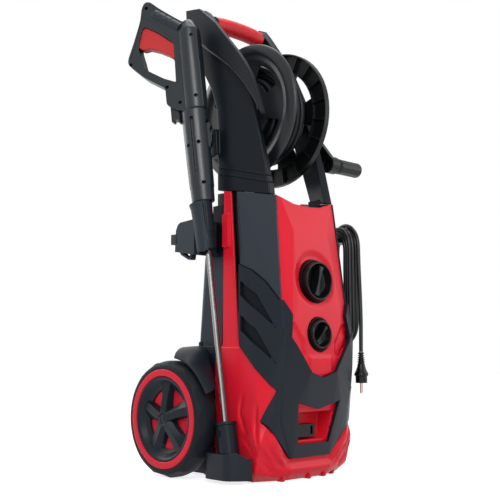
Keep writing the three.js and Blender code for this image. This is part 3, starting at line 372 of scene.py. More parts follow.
def block(low, high):  # a box between two corners, in mm
    made = bmesh.new()
    low, high = point(*low), point(*high)
    bmesh.ops.create_cube(made, size=1)
    bmesh.ops.scale(made, vec=high - low, verts=made.verts)
    bmesh.ops.translate(made, vec=(low + high) / 2, verts=made.verts)
    return made


def combined(made, others, operation="DIFFERENCE"):  # an exact boolean of bmeshes, cleaned afterwards
    base = linked("base", meshOf("base", made))
    tools = [linked("tool", meshOf("tool", other)) for other in others]
    for tool in tools:
        step = base.modifiers.new("step", "BOOLEAN")
        step.operation = operation
        step.object = tool
        step.solver = "EXACT"
    seen = base.evaluated_get(bpy.context.evaluated_depsgraph_get())
    mesh = bpy.data.meshes.new_from_object(seen)
    result = bmesh.new()
    result.from_mesh(mesh)
    for thing in [base] + tools:
        old = thing.data
        bpy.data.objects.remove(thing)
        bpy.data.meshes.remove(old)
    bpy.data.meshes.remove(mesh)
    bmesh.ops.remove_doubles(result, verts=result.verts, dist=0.01 * mm)
    bmesh.ops.dissolve_degenerate(result, dist=0.01 * mm, edges=result.edges)
    return result


def sliced(made, place, normal, **options):  # cuts a mesh along a plane
    bmesh.ops.bisect_plane(made, geom=made.verts[:] + made.edges[:] + made.faces[:], dist=1e-7,
                           plane_co=place, plane_no=normal, **options)


def gridded(made, spacing):  # slices a mesh by planes: {axis: (from, to, step)} in mm
    for axis, (start, end, step) in spacing.items():
        normal = Vector([1 if axis == each else 0 for each in "xyz"])
        place = start
        while place <= end:
            sliced(made, normal * (place * mm), normal)
            place += step
    return made


def fluted(made, look, axes, centre=(0, 0)):  # shallow flutes along a turned shape, between two places
    first, second, along = axes
    startA, startB = centre[0] * mm, centre[1] * mm
    for vert in made.verts:
        a, b = vert.co[first] - startA, vert.co[second] - startB
        if hypot(a, b) / mm > look["outside"] and look["from"] < vert.co[along] / mm < look["to"]:
            scale = 1 - look["depth"] * (0.5 + 0.5 * cos(atan2(b, a) * look["count"])) ** 2
            vert.co[first], vert.co[second] = startA + a * scale, startB + b * scale
    return made


def inside(x, y, outline):  # whether a flat point is in an outline
    hit = False
    for (ax, ay), (bx, by) in zip(outline, outline[1:] + outline[:1]):
        if (ay > y) != (by > y) and x < (bx - ax) * (y - ay) / (by - ay) + ax:
            hit = not hit
    return hit


def toLine(x, y, line):  # how far a flat point is from a row of points
    best = 1e9
    for (ax, ay), (bx, by) in zip(line, line[1:]):
        dx, dy = bx - ax, by - ay
        share = max(0, min(1, ((x - ax) * dx + (y - ay) * dy) / (dx * dx + dy * dy)))
        best = min(best, hypot(x - ax - dx * share, y - ay - dy * share))
    return best


def eased(value, start=0, end=1):  # 0 to 1 with soft ends, between two values
    share = max(0, min(1, (value - start) / (end - start)))
    return share * share * (3 - 2 * share)


def piece(name, made, body, finish, stands=(), bevel=0, angle=34, segments=2):
    mesh = meshOf(name, made)
    thing = linked(name, mesh)
    mesh.materials.append(finishes[finish][0])
    mesh.polygons.foreach_set("use_smooth", [True] * len(mesh.polygons))
    if bevel:
        rounding = thing.modifiers.new("bevel", "BEVEL")
        rounding.width = bevel * mm
        rounding.segments = segments
        rounding.limit_method = "ANGLE"
        rounding.angle_limit = radians(angle)
        rounding.use_clamp_overlap = False
        rounding.miter_outer = "MITER_ARC"
    else:
        mesh.set_sharp_from_angle(angle=radians(angle))
    steady = thing.modifiers.new("normals", "WEIGHTED_NORMAL")
    steady.keep_sharp = True
    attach(thing, body)
    if stands:
        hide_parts(*stands)
    return thing


def sidePiece(hand, name, made, body, finish, stands, bevel, angle):  # modelled on the right
    side = sides[hand]
    return piece(f"{side}_{name}", mirrored(made) if hand < 0 else made, body, finish,
                 [f"{side}_{each}" for each in stands], bevel, angle)


def smoothed(node, finish, bevel):  # a CAD part with rounded edges
    return piece(node + "_shell", copyOf(node), nodes[node]["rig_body"], finish, [node], bevel)


lead = {
    "diameter": 7.5, "centre": (127, -89), "turn": -15.7, "half": 42, "foot": 236, "top": 462,
    "gland": (117, -34.3, 457.95), "real": 5.0, "arcPoints": 8, "straightPoints": 4,
    "start": [(0, 0), (0.3, 5.7), (2, 16.2), (4.9, 26.7), (6.4, 36.7)],
    "lanes": [(-1, 0), (-1, 1), (-1, 2), (0, 2), (1, 2), (1, 1), (0, 1), (0, 0), (1, 0), (1, -1)],
    "tail": [(-46.05, 408), (-47.05, 380), (-49.55, 330), (-51.05, 280), (-50.45, 245), (-50.05, 222.3)],
}
hankSpin = radians(lead["turn"])
outward = (cos(hankSpin), sin(hankSpin))
along = (-outward[1], outward[0])


def onHank(out, back, z):
    x, y = lead["centre"]
    return point(x + out * outward[0] + back * along[0], y + out * outward[1] + back * along[1], z)


def wound():  # the lead's route: gland, nine turns over the hooks, then the tail to the plug
    thick = lead["diameter"]
    outer = lead["half"] - thick / 2
    upper, lower = lead["top"] - lead["half"], lead["foot"] + lead["half"]
    gx, gy, gz = lead["gland"]
    route = [point(gx + out, gy - away, gz) for out, away in lead["start"]]
    route.append(onHank(-thick, 3, gz + 0.2))
    cells = [(lane * thick, outer - layer * thick) for lane, layer in lead["lanes"]]
    angles = [pi * i / lead["arcPoints"] for i in range(lead["arcPoints"] + 1)]
    shares = [i / lead["straightPoints"] for i in range(1, lead["straightPoints"])]
    for turn, (lane, radius) in enumerate(cells):
        for angle in angles:  # over the top, towards the front
            if turn or angle >= pi / 2:
                route.append(onHank(lane, radius * cos(angle), upper + radius * sin(angle)))
        if turn == len(cells) - 1:
            break
        for share in shares:
            route.append(onHank(lane, -radius, upper + (lower - upper) * share))
        for angle in angles:
            route.append(onHank(lane, -radius * cos(angle), lower - radius * sin(angle)))
        nextLane, nextRadius = cells[turn + 1]
        for share in shares:  # back up, crossing to the next place
            route.append(onHank(lane + (nextLane - lane) * eased(share),
                                radius + (nextRadius - radius) * eased(share),
                                lower + (upper - lower) * share))
    return route + [onHank(thick, back, z) for back, z in lead["tail"]]


def makeLead():
    data = bpy.data.curves.new("mains_lead", "CURVE")
    data.dimensions = "3D"
    data.bevel_depth = lead["diameter"] / 2 * mm
    data.bevel_resolution = 3
    data.resolution_u = 4
    data.use_fill_caps = True
    route = wound()
    spline = data.splines.new("BEZIER")
    spline.bezier_points.add(len(route) - 1)
    for knot, place in zip(spline.bezier_points, route):
        knot.co = place
        knot.handle_left_type = knot.handle_right_type = "AUTO"
    data.materials.append(finishes["lead"][0])
    thing = linked("mains_lead", data)
    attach(thing, "washer")
    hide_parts("cord_lead", "cord_hank", "cord_tail")
    return thing


mainsLead = makeLead()
plug = {
    "across": 7.5, "back": -50.05, "turn": 35, "pinApart": 8.5, "pinRadius": 2.3, "pinFoot": 146.2,
    "profile": [(0, 165), (11.4, 165), (12.6, 166.2), (13, 170), (13, 177.5), (15.4, 178.6),
                (15.5, 182.4), (14.6, 184), (12, 188), (9.4, 194), (8.2, 199), (7, 200.6)],
    "ribs": 5, "ribStart": 201, "ribPitch": 3.9, "ribReach": 7.4, "ribTaper": 0.45, "ribDepth": 1.8,
    "relief": [(4.8, 221), (4.3, 222), (0, 222)], "flatFrom": 165.5, "flatTo": 199.5, "flatten": 0.16,
}


def makePlug():  # the plug's body with its ribbed sleeve, and the two pins
    centre = onHank(plug["across"], plug["back"], 0) / mm
    turn = radians(plug["turn"])
    profile = list(plug["profile"])
    for i in range(plug["ribs"]):
        z = plug["ribStart"] + i * plug["ribPitch"]
        reach = plug["ribReach"] - i * plug["ribTaper"]
        root = reach - plug["ribDepth"]
        profile += [(root, z), (root, z + 1.5), (reach, z + 1.9), (reach, z + 3.4)]
    body = turned(profile + plug["relief"], 40, centre)
    side = Vector((-sin(turn), cos(turn), 0))
    for vert in body.verts:  # flattened sides where it is gripped
        if plug["flatFrom"] < vert.co.z / mm < plug["flatTo"]:
            way = Vector((vert.co.x - centre.x * mm, vert.co.y - centre.y * mm, 0))
            vert.co -= side * (way.dot(side) * plug["flatten"])
    radius, foot, root = plug["pinRadius"], plug["pinFoot"], 166
    pins = []
    for hand in sides:
        apart = hand * plug["pinApart"]
        pins.append(turned([(0, foot), (radius - 0.9, foot), (radius, foot + 1.2), (radius, root), (0, root)],
                           20, (centre.x + apart * cos(turn), centre.y + apart * sin(turn), 0)))
    return [piece("plug_body", body, "washer", "black", ["mains_plug"], 0.4, 40),
            piece("plug_pins", gathered(pins), "washer", "pinMetal", (), 0, 40)]


plugPieces = makePlug()
tuple(point(*lead["gland"]))
print("mains lead ready")

gun = {
    "foot": (-137, -62, 14), "lean": -9, "turn": 120, "half": 13, "corner": 5, "edge": 2.6,
    "outline": [(-24, 664.4), (17, 664.4), (31, 668.5), (49, 683), (49, 717), (61, 726), (89, 747.5),
                (119.5, 781), (119, 792), (104, 825), (87.5, 865), (82, 892), (74.5, 903), (64, 901),
                (46, 882), (24, 862), (2, 843), (-13, 839), (-24, 821)],
    "window": [(26.5, 724.5), (50, 737), (78, 758), (88.5, 771), (91, 787), (95, 806), (95, 817),
               (85, 847), (78, 851), (52, 832), (23.5, 804)], "windowCorner": 2.5, "wallNear": 1.2,
    "slot": [(12.5, 800), (12.5, 788), (18, 777), (28, 773), (99, 812), (99, 818), (96.5, 832), (85.5, 859),
             (78, 869), (44, 846), (20, 822), (14, 810)],
    "screws": [(72.5, 889.5), (22, 682), (45, 718), (114, 780)], "screwRadius": 3.4, "screwDepth": 8,
    "barrelScrews": [(-14, 810), (-12, 687)], "barrelScrewFloor": 10, "barrelShift": -4, "barrelFlat": 0.9,
    "barrel": [(0, 664.4), (21.2, 664.4), (22.2, 667), (22.8, 700), (22.4, 780), (21.8, 824), (20.4, 829),
               (12.4, 844.6), (9, 848), (0, 849)],
    "cheek": [(20, 722), (24.5, 722), (22, 769), (14, 791), (20.5, 807), (60, 857), (79, 873), (85, 868),
              (98, 826), (112, 793), (115, 800), (101, 828), (85, 872), (80, 878), (58, 863), (18, 811),
              (9, 792), (17, 768)], "cheekThick": 1.5, "cheekCorner": 2, "cheekEdge": 0.4,
    "recess": ((31.5, -20, 653), (40, 20, 663.5)), "hookHalf": 7.5,
    "hook": [(28, 646), (31, 646), (31, 652), (40, 652), (40, 649), (44, 649), (44, 690), (28, 690)],
}
gunGrip = {"from": (9.3, 832.6), "to": (63, 879.2), "wide": 18, "deep": 13.6, "rings": (22, 37, 52),
           "ringHalf": 1.7, "ringDepth": 0.06, "dome": 9, "domeShare": 0.96, "rows": 90, "around": 36}
trigger = {"half": 9, "corner": 2.5, "pinRadius": 2.5, "pinHalf": 11.4, "pin": (22, 794),
           "outline": [(83, 852.5), (77.5, 854.5), (54, 835), (30, 811), (20, 806), (16.5, 800), (16.5, 790),
                       (22, 780), (29, 774), (36, 783), (58, 798), (76, 807), (88, 806), (96.5, 813),
                       (96.5, 820), (88, 848)]}
latch = {"half": 6.6, "outline": [(-19.4, 586), (-26, 588), (-29.5, 598), (-31, 612), (-27.5, 616),
                                  (-27.5, 622), (-30.6, 627), (-29.4, 632.5), (-27, 634), (-19.4, 634)]}
leanOnly = Matrix.Translation(point(*gun["foot"])) @ Matrix.Rotation(radians(gun["lean"]), 4, "X")
gunPlace = leanOnly @ Matrix.Rotation(radians(gun["turn"]), 4, "Z")


def gunPiece(name, made, finish, stands=(), bevel=0, angle=40, segments=2, body="lance"):
    return piece(name, placed(made, gunPlace), body, finish, stands, bevel, angle, segments)


def onGun(outline, half, radius=0):  # an outline (guardwards, upwards) as a slab across the gun
    return slab([(a, -half, b) for a, b in outline], (0, 2 * half, 0), radius)


def ellipse(wide, deep, z, count=40):
    turns = [2 * pi * i / count for i in range(count)]
    return [(wide * cos(turn), deep * sin(turn), z) for turn in turns]


def screwWells(places, radius, floor):  # what sinks the screws, from a floor to past the face
    return [cylinder(radius, (a, floor, b), (0, 17, 0)) for a, b in places]


def makeGunBody():
    half = gun["half"]
    window = onGun(gun["window"], 3 * half, gun["windowCorner"])
    frame = bevelled(combined(onGun(gun["outline"], half, gun["corner"]), [window]), gun["edge"], 40, 3)
    wells = screwWells(gun["screws"], gun["screwRadius"], half - gun["screwDepth"])
    frame = combined(frame, [onGun(gun["slot"], trigger["half"] + 1), gathered(wells), block(*gun["recess"])])
    barrel = turned(gun["barrel"], 48)
    bmesh.ops.scale(barrel, vec=(1, gun["barrelFlat"], 1), verts=barrel.verts)
    bmesh.ops.translate(barrel, vec=point(gun["barrelShift"], 0, 0), verts=barrel.verts)
    wells = screwWells(gun["barrelScrews"], gun["screwRadius"], gun["barrelScrewFloor"])
    barrel = combined(barrel, [gathered(wells)])
    cheek = slab([(a, half - 1, b) for a, b in gun["cheek"]], (0, gun["cheekThick"], 0), gun["cheekCorner"])
    hook = onGun(gun["hook"], gun["hookHalf"])
    body = gathered([frame, barrel, hook, bevelled(cheek, gun["cheekEdge"], 40, 1)])
    outline = gun["window"] + gun["window"][:1]
    for face in body.faces:  # the window's own walls take the second material, a darker grey that is painted shade in the opening
        middle = face.calc_center_median()
        if abs(face.normal.y) < 0.3 and toLine(middle.x / mm, middle.z / mm, outline) < gun["wallNear"]:
            face.material_index = 1
    frame = gunPiece("gun_frame", body, "gunGrey", ["gun_body"], 0.3, 38, 1)
    frame.data.materials.append(finishes["deepGrey"][0])


def makeGunGrip():  # the rounded grip with three rings, as rows of ellipses
    look = gunGrip
    (a, b), (endA, endB) = look["from"], look["to"]
    length = hypot(endA - a, endB - b)
    da, db = (endA - a) / length, (endB - b) / length
    rows = []
    for i in range(look["rows"] + 1):
        place = length * i / look["rows"]
        nearest = min(abs(place - ring) for ring in look["rings"])
        scale = 1 - look["ringDepth"] * eased(1 - nearest / look["ringHalf"])
        past = max(0, (place - length) / look["dome"] + 1)
        scale *= sqrt(1 - look["domeShare"] * past ** 2)
        row = ellipse(look["wide"] * scale, look["deep"] * scale, 0, look["around"])
        rows.append([(a + da * place - db * deep, wide, b + db * place + da * deep) for wide, deep, _ in row])
    gunPiece("gun_grip", lofted(rows), "columnGrey", (), 0, 60)


def makeTrigger():
    (a, b), half = trigger["pin"], trigger["pinHalf"]
    lever = onGun(trigger["outline"], trigger["half"], trigger["corner"])
    pin = cylinder(trigger["pinRadius"], (a, -half, b), (0, 2 * half, 0))
    gunPiece("trigger_lever", gathered([lever, pin]), "triggerRed", ["trigger"], 1.6, 38, 3, "trigger_lever")


handle = {
    "rows": [(20.2, 17.2, 485.2), (21.2, 18.2, 486.6), (22.2, 18.9, 512), (23.0, 19.4, 512.8), (24, 20, 560),
             (25, 20, 640), (25, 20, 661.5), (24, 19, 663.8)],
    "latchSlot": ((-40, -8, 596), (-15, 8, 640)), "bore": (5.8, (0, 0, 470), (0, 0, 60), 24),
    "groove": [(-2.4, 12, 537), (5, 12, 537), (5, 12, 648), (-2.4, 12, 648)], "grooveDepth": (0, 14, 0),
    "grooveCorner": 3.2,
    "screws": [(-8, 596), (-10, 518)], "edgeScrews": [(13, 593)], "screwRadius": 3.3,
    "collar": [(5.8, 395), (12.6, 395), (14, 396.6), (14.3, 410), (14.3, 413), (13.2, 414), (13.4, 428),
               (14.6, 429), (15, 444), (15.4, 470), (15.9, 486), (5.8, 486)],
    "flutes": {"count": 18, "depth": 0.05, "outside": 13.5, "from": 430, "to": 484.5},
}


def makeHandle():
    grip = lofted([ellipse(*row) for row in handle["rows"]])
    groove = slab(handle["groove"], handle["grooveDepth"], handle["grooveCorner"])
    grip = combined(grip, [block(*handle["latchSlot"]), groove, cylinder(*handle["bore"])])
    wells = (screwWells(handle["screws"], handle["screwRadius"], 9)
             + screwWells(handle["edgeScrews"], handle["screwRadius"], 6))
    gunPiece("lance_grip", combined(grip, wells), "gunGrey", ["lance_handle"], 0.8)
    collar = fluted(turned(handle["collar"], 72), handle["flutes"], (0, 1, 2))
    gunPiece("lance_collar", collar, "trimGrey", (), 0.4, 50)


nozzle = {
    "profile": [(0, 0), (15.5, 0), (17.4, 0.8), (18.4, 3), (18.4, 12), (17.9, 12.6), (17.9, 14), (18.4, 14.6),
                (18.1, 82.6), (17.2, 83.6), (17.2, 84.4), (19, 85), (19.3, 86), (19.3, 88.8), (18.4, 90),
                (7, 90), (6.2, 89.2), (0, 89.2)],
    "notch": ((-2.7, 15, 66), (2.7, 22, 76)), "notchTurn": -26,
    "rod": [(0, 90.4), (5.5, 90.4), (5.5, 424.6), (0, 424.6)],
}


def makeNozzle():  # the nozzle with a notch in its side, and the rod above it
    notch = placed(block(*nozzle["notch"]), Matrix.Rotation(radians(nozzle["notchTurn"]), 4, "Z"))
    gunPiece("spray_nozzle", combined(turned(nozzle["profile"], 56), [notch]), "trimGrey", ["lance_nozzle"],
             0.5, 45, 2, "nozzle")
    gunPiece("lance_tube", turned(nozzle["rod"], 40), "stainless", ["lance_rod"], 0.3, 45, 1)


makeGunBody()
makeGunGrip()
makeTrigger()
makeHandle()
gunPiece("latch_button", onGun(latch["outline"], latch["half"], 1), "gunGrey", ["lance_latch"], 0.7, 38, 2,
         "latch")
makeNozzle()

holder = {
    "outer": -154, "inner": -92, "hookWide": 13, "bore": (17.2, (0, 0, 370), (0, 0, 130), 40), "edge": 2.2,
    "box": [(20, 396.5), (75, 406), (72.5, 446), (67, 456), (60, 459.5), (20, 462)],
    "pocket": ((-148, 30, 380), (-98, 69, 447)), "peg": ((-154, 68, 420), (-143, 87, 439)),
    "flange": ((-100, 2.5, 404), (-92, 30, 492)),
    "hook": [(61, 405), (58, 399), (36, 388.4), (30, 388.8), (27.6, 400), (30.6, 401), (33, 392.6),
             (35.6, 392.4), (52, 400.4), (51, 404)],
    "clip": [(17.4, 392), (19.8, 390.5), (21, 396), (22.4, 440), (24.4, 472), (27, 481.5), (24.8, 482),
             (22.2, 473), (19.8, 450), (18.2, 425)],
    "openTowards": (0.707, -0.707, 0.03), "openFrom": (0, 0, 440),
}


def bored(made, *others):  # room for the lance, and for whatever else is given
    return combined(made, [*others, placed(cylinder(*holder["bore"]), leanOnly)])


def makeHolder():  # bracket, peg, hook, and the open clip that the lance stands in
    outer = holder["outer"]
    box = bored(slab([(outer, y, z) for y, z in holder["box"]], (holder["inner"] - outer, 0, 0)),
                block(*holder["pocket"]))
    hook = slab([(outer, y, z) for y, z in holder["hook"]], (holder["hookWide"], 0, 0))
    clip = turned(holder["clip"], 48)
    sliced(clip, point(*holder["openFrom"]), Vector(holder["openTowards"]), clear_outer=True)
    bmesh.ops.holes_fill(clip, edges=[edge for edge in clip.edges if len(edge.link_faces) == 1], sides=0)
    clip = placed(faceOut(clip), leanOnly)
    # the flange's face takes a darker grey than the bracket: painted shade
    piece("lance_flange", bored(block(*holder["flange"])), "washer", "deepGrey", (), 0.8, 40)
    bracket = gathered([bevelled(box, holder["edge"], 40, 3), block(*holder["peg"]), hook, clip])
    piece("lance_bracket", bracket, "washer", "rearGrey", ["lance_holder"], 0.8, 40)


makeHolder()
print("gun and lance ready")

wheel = {
    "y": 72, "z": 103.6, "steps": 120, "scallops": 15, "scallopDepth": 2.9, "scallopFrom": 96.5,
    "scallopFull": 101.5, "middle": 157.5, "flatHalf": 3, "fullHalf": 12, "spokes": 5, "firstSpoke": -8,
    "tyre": [(81.4, 140), (87, 138), (94, 136.2), (98.6, 137.6), (101.6, 141), (103.1, 146), (103.6, 152),
             (103.6, 163), (103.2, 169), (101.8, 174), (99.6, 177.6), (97.4, 179.6), (95.4, 181),
             (92, 181.9), (89.2, 182), (88.4, 181.4), (88.4, 178), (81.4, 178)],
    "disc": [(6.3, 134), (18, 134), (18, 159), (71, 159), (76.5, 166), (76.5, 178.4), (88, 178.4),
             (88, 181.6), (87.3, 182.6), (86, 183), (77.8, 183), (76.2, 182.5), (75.4, 181.4), (75.4, 167),
             (70, 163), (6.3, 163)],
    "band": [(54, 163.3), (69.6, 163.3), (75, 167.6), (75, 181), (74.2, 181.9), (72.6, 182), (70, 180.8),
             (67.4, 178), (62, 171.6), (58.6, 168.6), (55.6, 168), (54, 167)],
    "hub": [(0, 163.3), (22, 163.3), (21, 174), (17, 180.6), (13, 181.2), (11, 178.6), (0, 181)],
    # a spoke's rows: reach, the sideways places of its five corners, and the height of its ridge
    "blade": [(13, (-13, -11, -4, 9, 12), 181.5), (30, (-12, -9, -2, 11.5, 14.5), 179.4),
              (46, (-13, -9.5, 1, 15, 18.5), 176.6), (60, (-15.5, -11.5, 4, 19, 23), 174.4),
              (69, (-19.5, -14.5, 6, 23.5, 29), 174.2), (73.4, (-23, -17, 7, 27, 33), 175.6)],
    "bladeFoot": 163.4, "bladeDrops": (7.5, 2), "bore": (6.3, (160, 72, 103.6), (15, 0, 0), 24),
}


def spoke(turn):  # one faceted blade, wider at the rim, with its ridge crossing from one side to the other
    foot, (nearDrop, farDrop) = wheel["bladeFoot"], wheel["bladeDrops"]
    rows = []
    for r, across, top in wheel["blade"]:
        heights = (foot, top - nearDrop, top, top - farDrop, foot)
        rows.append([(x, wheel["y"] - r * sin(turn) - side * cos(turn),
                      wheel["z"] + r * cos(turn) - side * sin(turn)) for x, side in zip(heights, across)])
    return lofted(rows)


def makeWheel(hand):
    centre, axis, body = (0, wheel["y"], wheel["z"]), (1, 0, 0), sides[hand] + "_wheel"
    tyre, disc, band = (turned(wheel[part], wheel["steps"], centre, axis) for part in ("tyre", "disc", "band"))
    for vert in tyre.verts:  # scalloped shoulders
        y, z = vert.co.y - wheel["y"] * mm, vert.co.z - wheel["z"] * mm
        reach, turn = hypot(y, z), atan2(z, y)
        shoulder = (eased(reach / mm, wheel["scallopFrom"], wheel["scallopFull"])
                    * eased(abs(vert.co.x / mm - wheel["middle"]), wheel["flatHalf"], wheel["fullHalf"]))
        share = (turn / (2 * pi) * wheel["scallops"]) % 1 * 2 - 1  # -1 to 1 between two corners
        scale = 1 - wheel["scallopDepth"] * mm * (1 - share ** 2) * shoulder / reach
        vert.co.y, vert.co.z = wheel["y"] * mm + y * scale, wheel["z"] * mm + z * scale
    sidePiece(hand, "tyre_shaped", tyre, body, "tyre", ["tyre"], 0, 50)
    sidePiece(hand, "disc_shaped", disc, body, "wheelRed", ["wheel_disc"], 0, 40)
    sidePiece(hand, "rim_band", band, body, "trimGrey", (), 0, 40)
    turns = [radians(wheel["firstSpoke"] + 360 * i / wheel["spokes"]) for i in range(wheel["spokes"])]
    hub = turned(wheel["hub"], wheel["spokes"], centre, axis)
    star = combined(combined(hub, [spoke(turn) for turn in turns], "UNION"), [cylinder(*wheel["bore"])])
    sidePiece(hand, "spokes", star, body, "trimGrey", ["wheel_trim"], 0.6, 14)


for hand in sides:
    makeWheel(hand)

guard = {
    "wall": 3.2, "edges": (168, 158, 146, 134, 122, 111.8), "rows": 16,
    "stations": [((56.5, 214), (78, 228), (97, 231)), ((30, 207), (48, 226), (70, 233)),
                 ((6.5, 194), (20, 213), (46, 232)), ((-13.5, 175.5), (-4, 193), (26, 218)),
                 ((-33, 151), (-27, 163), (21, 180))],
    "flange": [(9, 40), (22, 40), (22, 180), (27, 214), (48, 227.5), (97, 226), (97, 231), (70, 233),
               (9, 233)], "flangeFrom": 98.5, "flangeWide": 13.3,
    "peg": [(0, 228), (4, 228), (4, 239), (3, 241), (0, 241)], "pegPlace": (106, 55, 0),
}


def curved(values, share):  # a smooth run through values, 0 to 1
    place = share * (len(values) - 1)
    i = min(int(place), len(values) - 2)
    t = place - i
    four = (values[max(i - 1, 0)], values[i], values[i + 1], values[min(i + 2, len(values) - 1)])
    return tuple(0.5 * (2 * b + (c - a) * t + (2 * a - 5 * b + 4 * c - d) * t * t
                        + (3 * b - a - 3 * c + d) * t ** 3) for a, b, c, d in zip(*four))


def guardRow(share, lower):  # a row of points across the arch, from its open edge to the body
    edge, middle, body = (curved([station[i] for station in guard["stations"]], share) for i in range(3))
    row = []
    for k, x in enumerate(guard["edges"]):
        t = k / (len(guard["edges"]) - 1)
        y, z = [(1 - t) ** 2 * a + 2 * t * (1 - t) * (2 * b - (a + c) / 2) + t * t * c
                for a, b, c in zip(edge, middle, body)]
        scale = 1 - guard["wall"] * lower / hypot(y - wheel["y"], z - wheel["z"])
        row.append((x, wheel["y"] + (y - wheel["y"]) * scale, wheel["z"] + (z - wheel["z"]) * scale))
    return row


def makeGuard(hand):
    shares = [i / guard["rows"] for i in range(guard["rows"] + 1)]
    shell = lofted([guardRow(share, 0) + guardRow(share, 1)[::-1] for share in shares])
    flange = slab([(guard["flangeFrom"], y, z) for y, z in guard["flange"]], (guard["flangeWide"], 0, 0))
    peg = turned(guard["peg"], 24, guard["pegPlace"])
    sidePiece(hand, "arch", gathered([shell, flange, peg]), "washer", "trimGrey", ["wheel_guard"], 1.0, 40)


for hand in sides:
    makeGuard(hand)
print("wheels and arches ready")

grip = {"y": 72, "z": 868, "half": 62, "radius": 16.4, "bow": 4, "ribs": 15, "ribSpan": 46, "ribDepth": 0.7,
        "ribSteps": 6, "bore": 10.4, "endRadius": 14.6, "shoulder": 16, "chamfer": 1.6,
        "collar": [(10.4, 62.4), (13.6, 62.4), (14.4, 63.2), (14.4, 64.8), (13.8, 65.6), (10.4, 65.6)]}


def makeGrip():  # the bowed red sleeve with its ribs, and a collar at each end
    centre, half = (0, grip["y"], grip["z"]), grip["half"]
    profile = [(grip["bore"], -half), (grip["endRadius"], -half), (grip["shoulder"], -half + grip["chamfer"])]
    steps = grip["ribs"] * grip["ribSteps"]
    for i in range(steps + 1):
        groove = max(0, cos(2 * pi * i / grip["ribSteps"])) ** 2
        profile.append((grip["radius"] - grip["ribDepth"] * groove,
                        -grip["ribSpan"] + 2 * grip["ribSpan"] * i / steps))
    profile += [(grip["shoulder"], half - grip["chamfer"]), (grip["endRadius"], half), (grip["bore"], half)]
    sleeve = turned(profile, 48, centre, (1, 0, 0))
    for vert in sleeve.verts:
        if hypot(vert.co.y / mm - grip["y"], vert.co.z / mm - grip["z"]) > grip["bore"] + 1:
            vert.co.z += (grip["bow"] * (1 - (vert.co.x / mm / half) ** 2) - grip["bow"] / 2) * mm
    piece("grip_sleeve", sleeve, "washer", "gripRed", ["handle_grip"], 0, 50)
    for hand, side in sides.items():
        collar = turned(grip["collar"], 48, centre, (hand, 0, 0))
        piece("grip_collar_" + side, collar, "washer", "black", (), 0, 40)


makeGrip()

hose = {"y": 2, "z": 676, "radius": 5.9, "around": 14, "pitch": 11.9, "layers": (64.6, 76.2, 88.1), "turns": 5,
        "start": -29.8, "steps": 56}


def makeHose():  # layers of turns that run to and fro along the drum
    coils = []
    length, steps = hose["pitch"] * hose["turns"], hose["steps"] * hose["turns"]
    for i, reach in enumerate(hose["layers"]):
        made = bmesh.new()
        hand = -1 if i % 2 else 1
        start = hose["start"] if hand > 0 else hose["start"] + length
        loop = bmesh.ops.create_circle(made, segments=hose["around"], radius=hose["radius"] * mm)["verts"]
        bmesh.ops.rotate(made, verts=loop, cent=(0, 0, 0), matrix=Matrix.Rotation(pi / 2, 3, "X"))
        bmesh.ops.translate(made, verts=loop, vec=point(start, hose["y"], hose["z"] + reach))
        edges = made.edges[:]
        cap = bmesh.ops.contextual_create(made, geom=edges)["faces"]
        bmesh.ops.spin(made, geom=cap + loop + edges, cent=point(start, hose["y"], hose["z"]), axis=(1, 0, 0),
                       dvec=point(hand * length / steps, 0, 0), angle=2 * pi * hose["turns"], steps=steps)
        coils.append(faceOut(made))
    piece("hose_turns", gathered(coils), "reel", "hose", ["hose_coil"], 0, 60)


makeHose()

flange = {
    "steps": 96, "inner": 61, "outer": 94, "corner": 3, "sweep": 42, "starts": (22, 108, 202, 288),
    "windowSteps": 8, "windowFrom": -60, "windowDeep": 25,
    "profile": [(8.2, -46), (30, -46), (32, -42), (99, -42), (103, -42.8), (107.5, -46), (111.5, -48.4),
                (115.5, -49.2), (122, -47.9), (128, -46), (131.6, -44.2), (133, -42), (131, -37.5),
                (126, -36.4), (58, -36.4), (58, 35.5), (54, 35.5), (54, -39.5), (8.2, -39.5)],
}


def makeFlange():  # the disc in front of the hose, with four windows that show its turns
    inner, outer, corner, steps = (flange[key] for key in ("inner", "outer", "corner", "windowSteps"))
    nearTurn, farTurn = (degrees(corner / reach) for reach in (inner, outer))
    centre, cuts = (0, hose["y"], hose["z"]), []
    for start in flange["starts"]:
        end = start + flange["sweep"]
        places = [(outer, start + farTurn + (end - start - 2 * farTurn) * i / steps) for i in range(steps + 1)]
        places += [(outer - corner, end), (inner + corner, end)]
        places += [(inner, end - nearTurn - (end - start - 2 * nearTurn) * i / steps) for i in range(steps + 1)]
        places += [(inner + corner, start), (outer - corner, start)]
        cuts.append(slab([(flange["windowFrom"], hose["y"] - reach * sin(radians(turn)),
                           hose["z"] + reach * cos(radians(turn))) for reach, turn in places],
                         (flange["windowDeep"], 0, 0)))
    made = combined(turned(flange["profile"], flange["steps"], centre, (1, 0, 0)), cuts)
    piece("reel_disc", made, "reel", "reelGrey", ["reel_flange"], 0.8)


makeFlange()

crankKnob = {
    "y": -77, "z": 586, "gripSteps": 8,
    "profile": [(0, 123.3), (11.4, 123.3), (12.6, 124.2), (14.6, 131), (15, 134), (15, 188.5), (14.2, 191.4),
                (12, 193), (6.4, 193), (5.8, 192.2), (5.5, 185), (0, 185)],
    "flutes": {"count": 10, "depth": 0.045, "outside": 14.2, "from": 136, "to": 187},
}


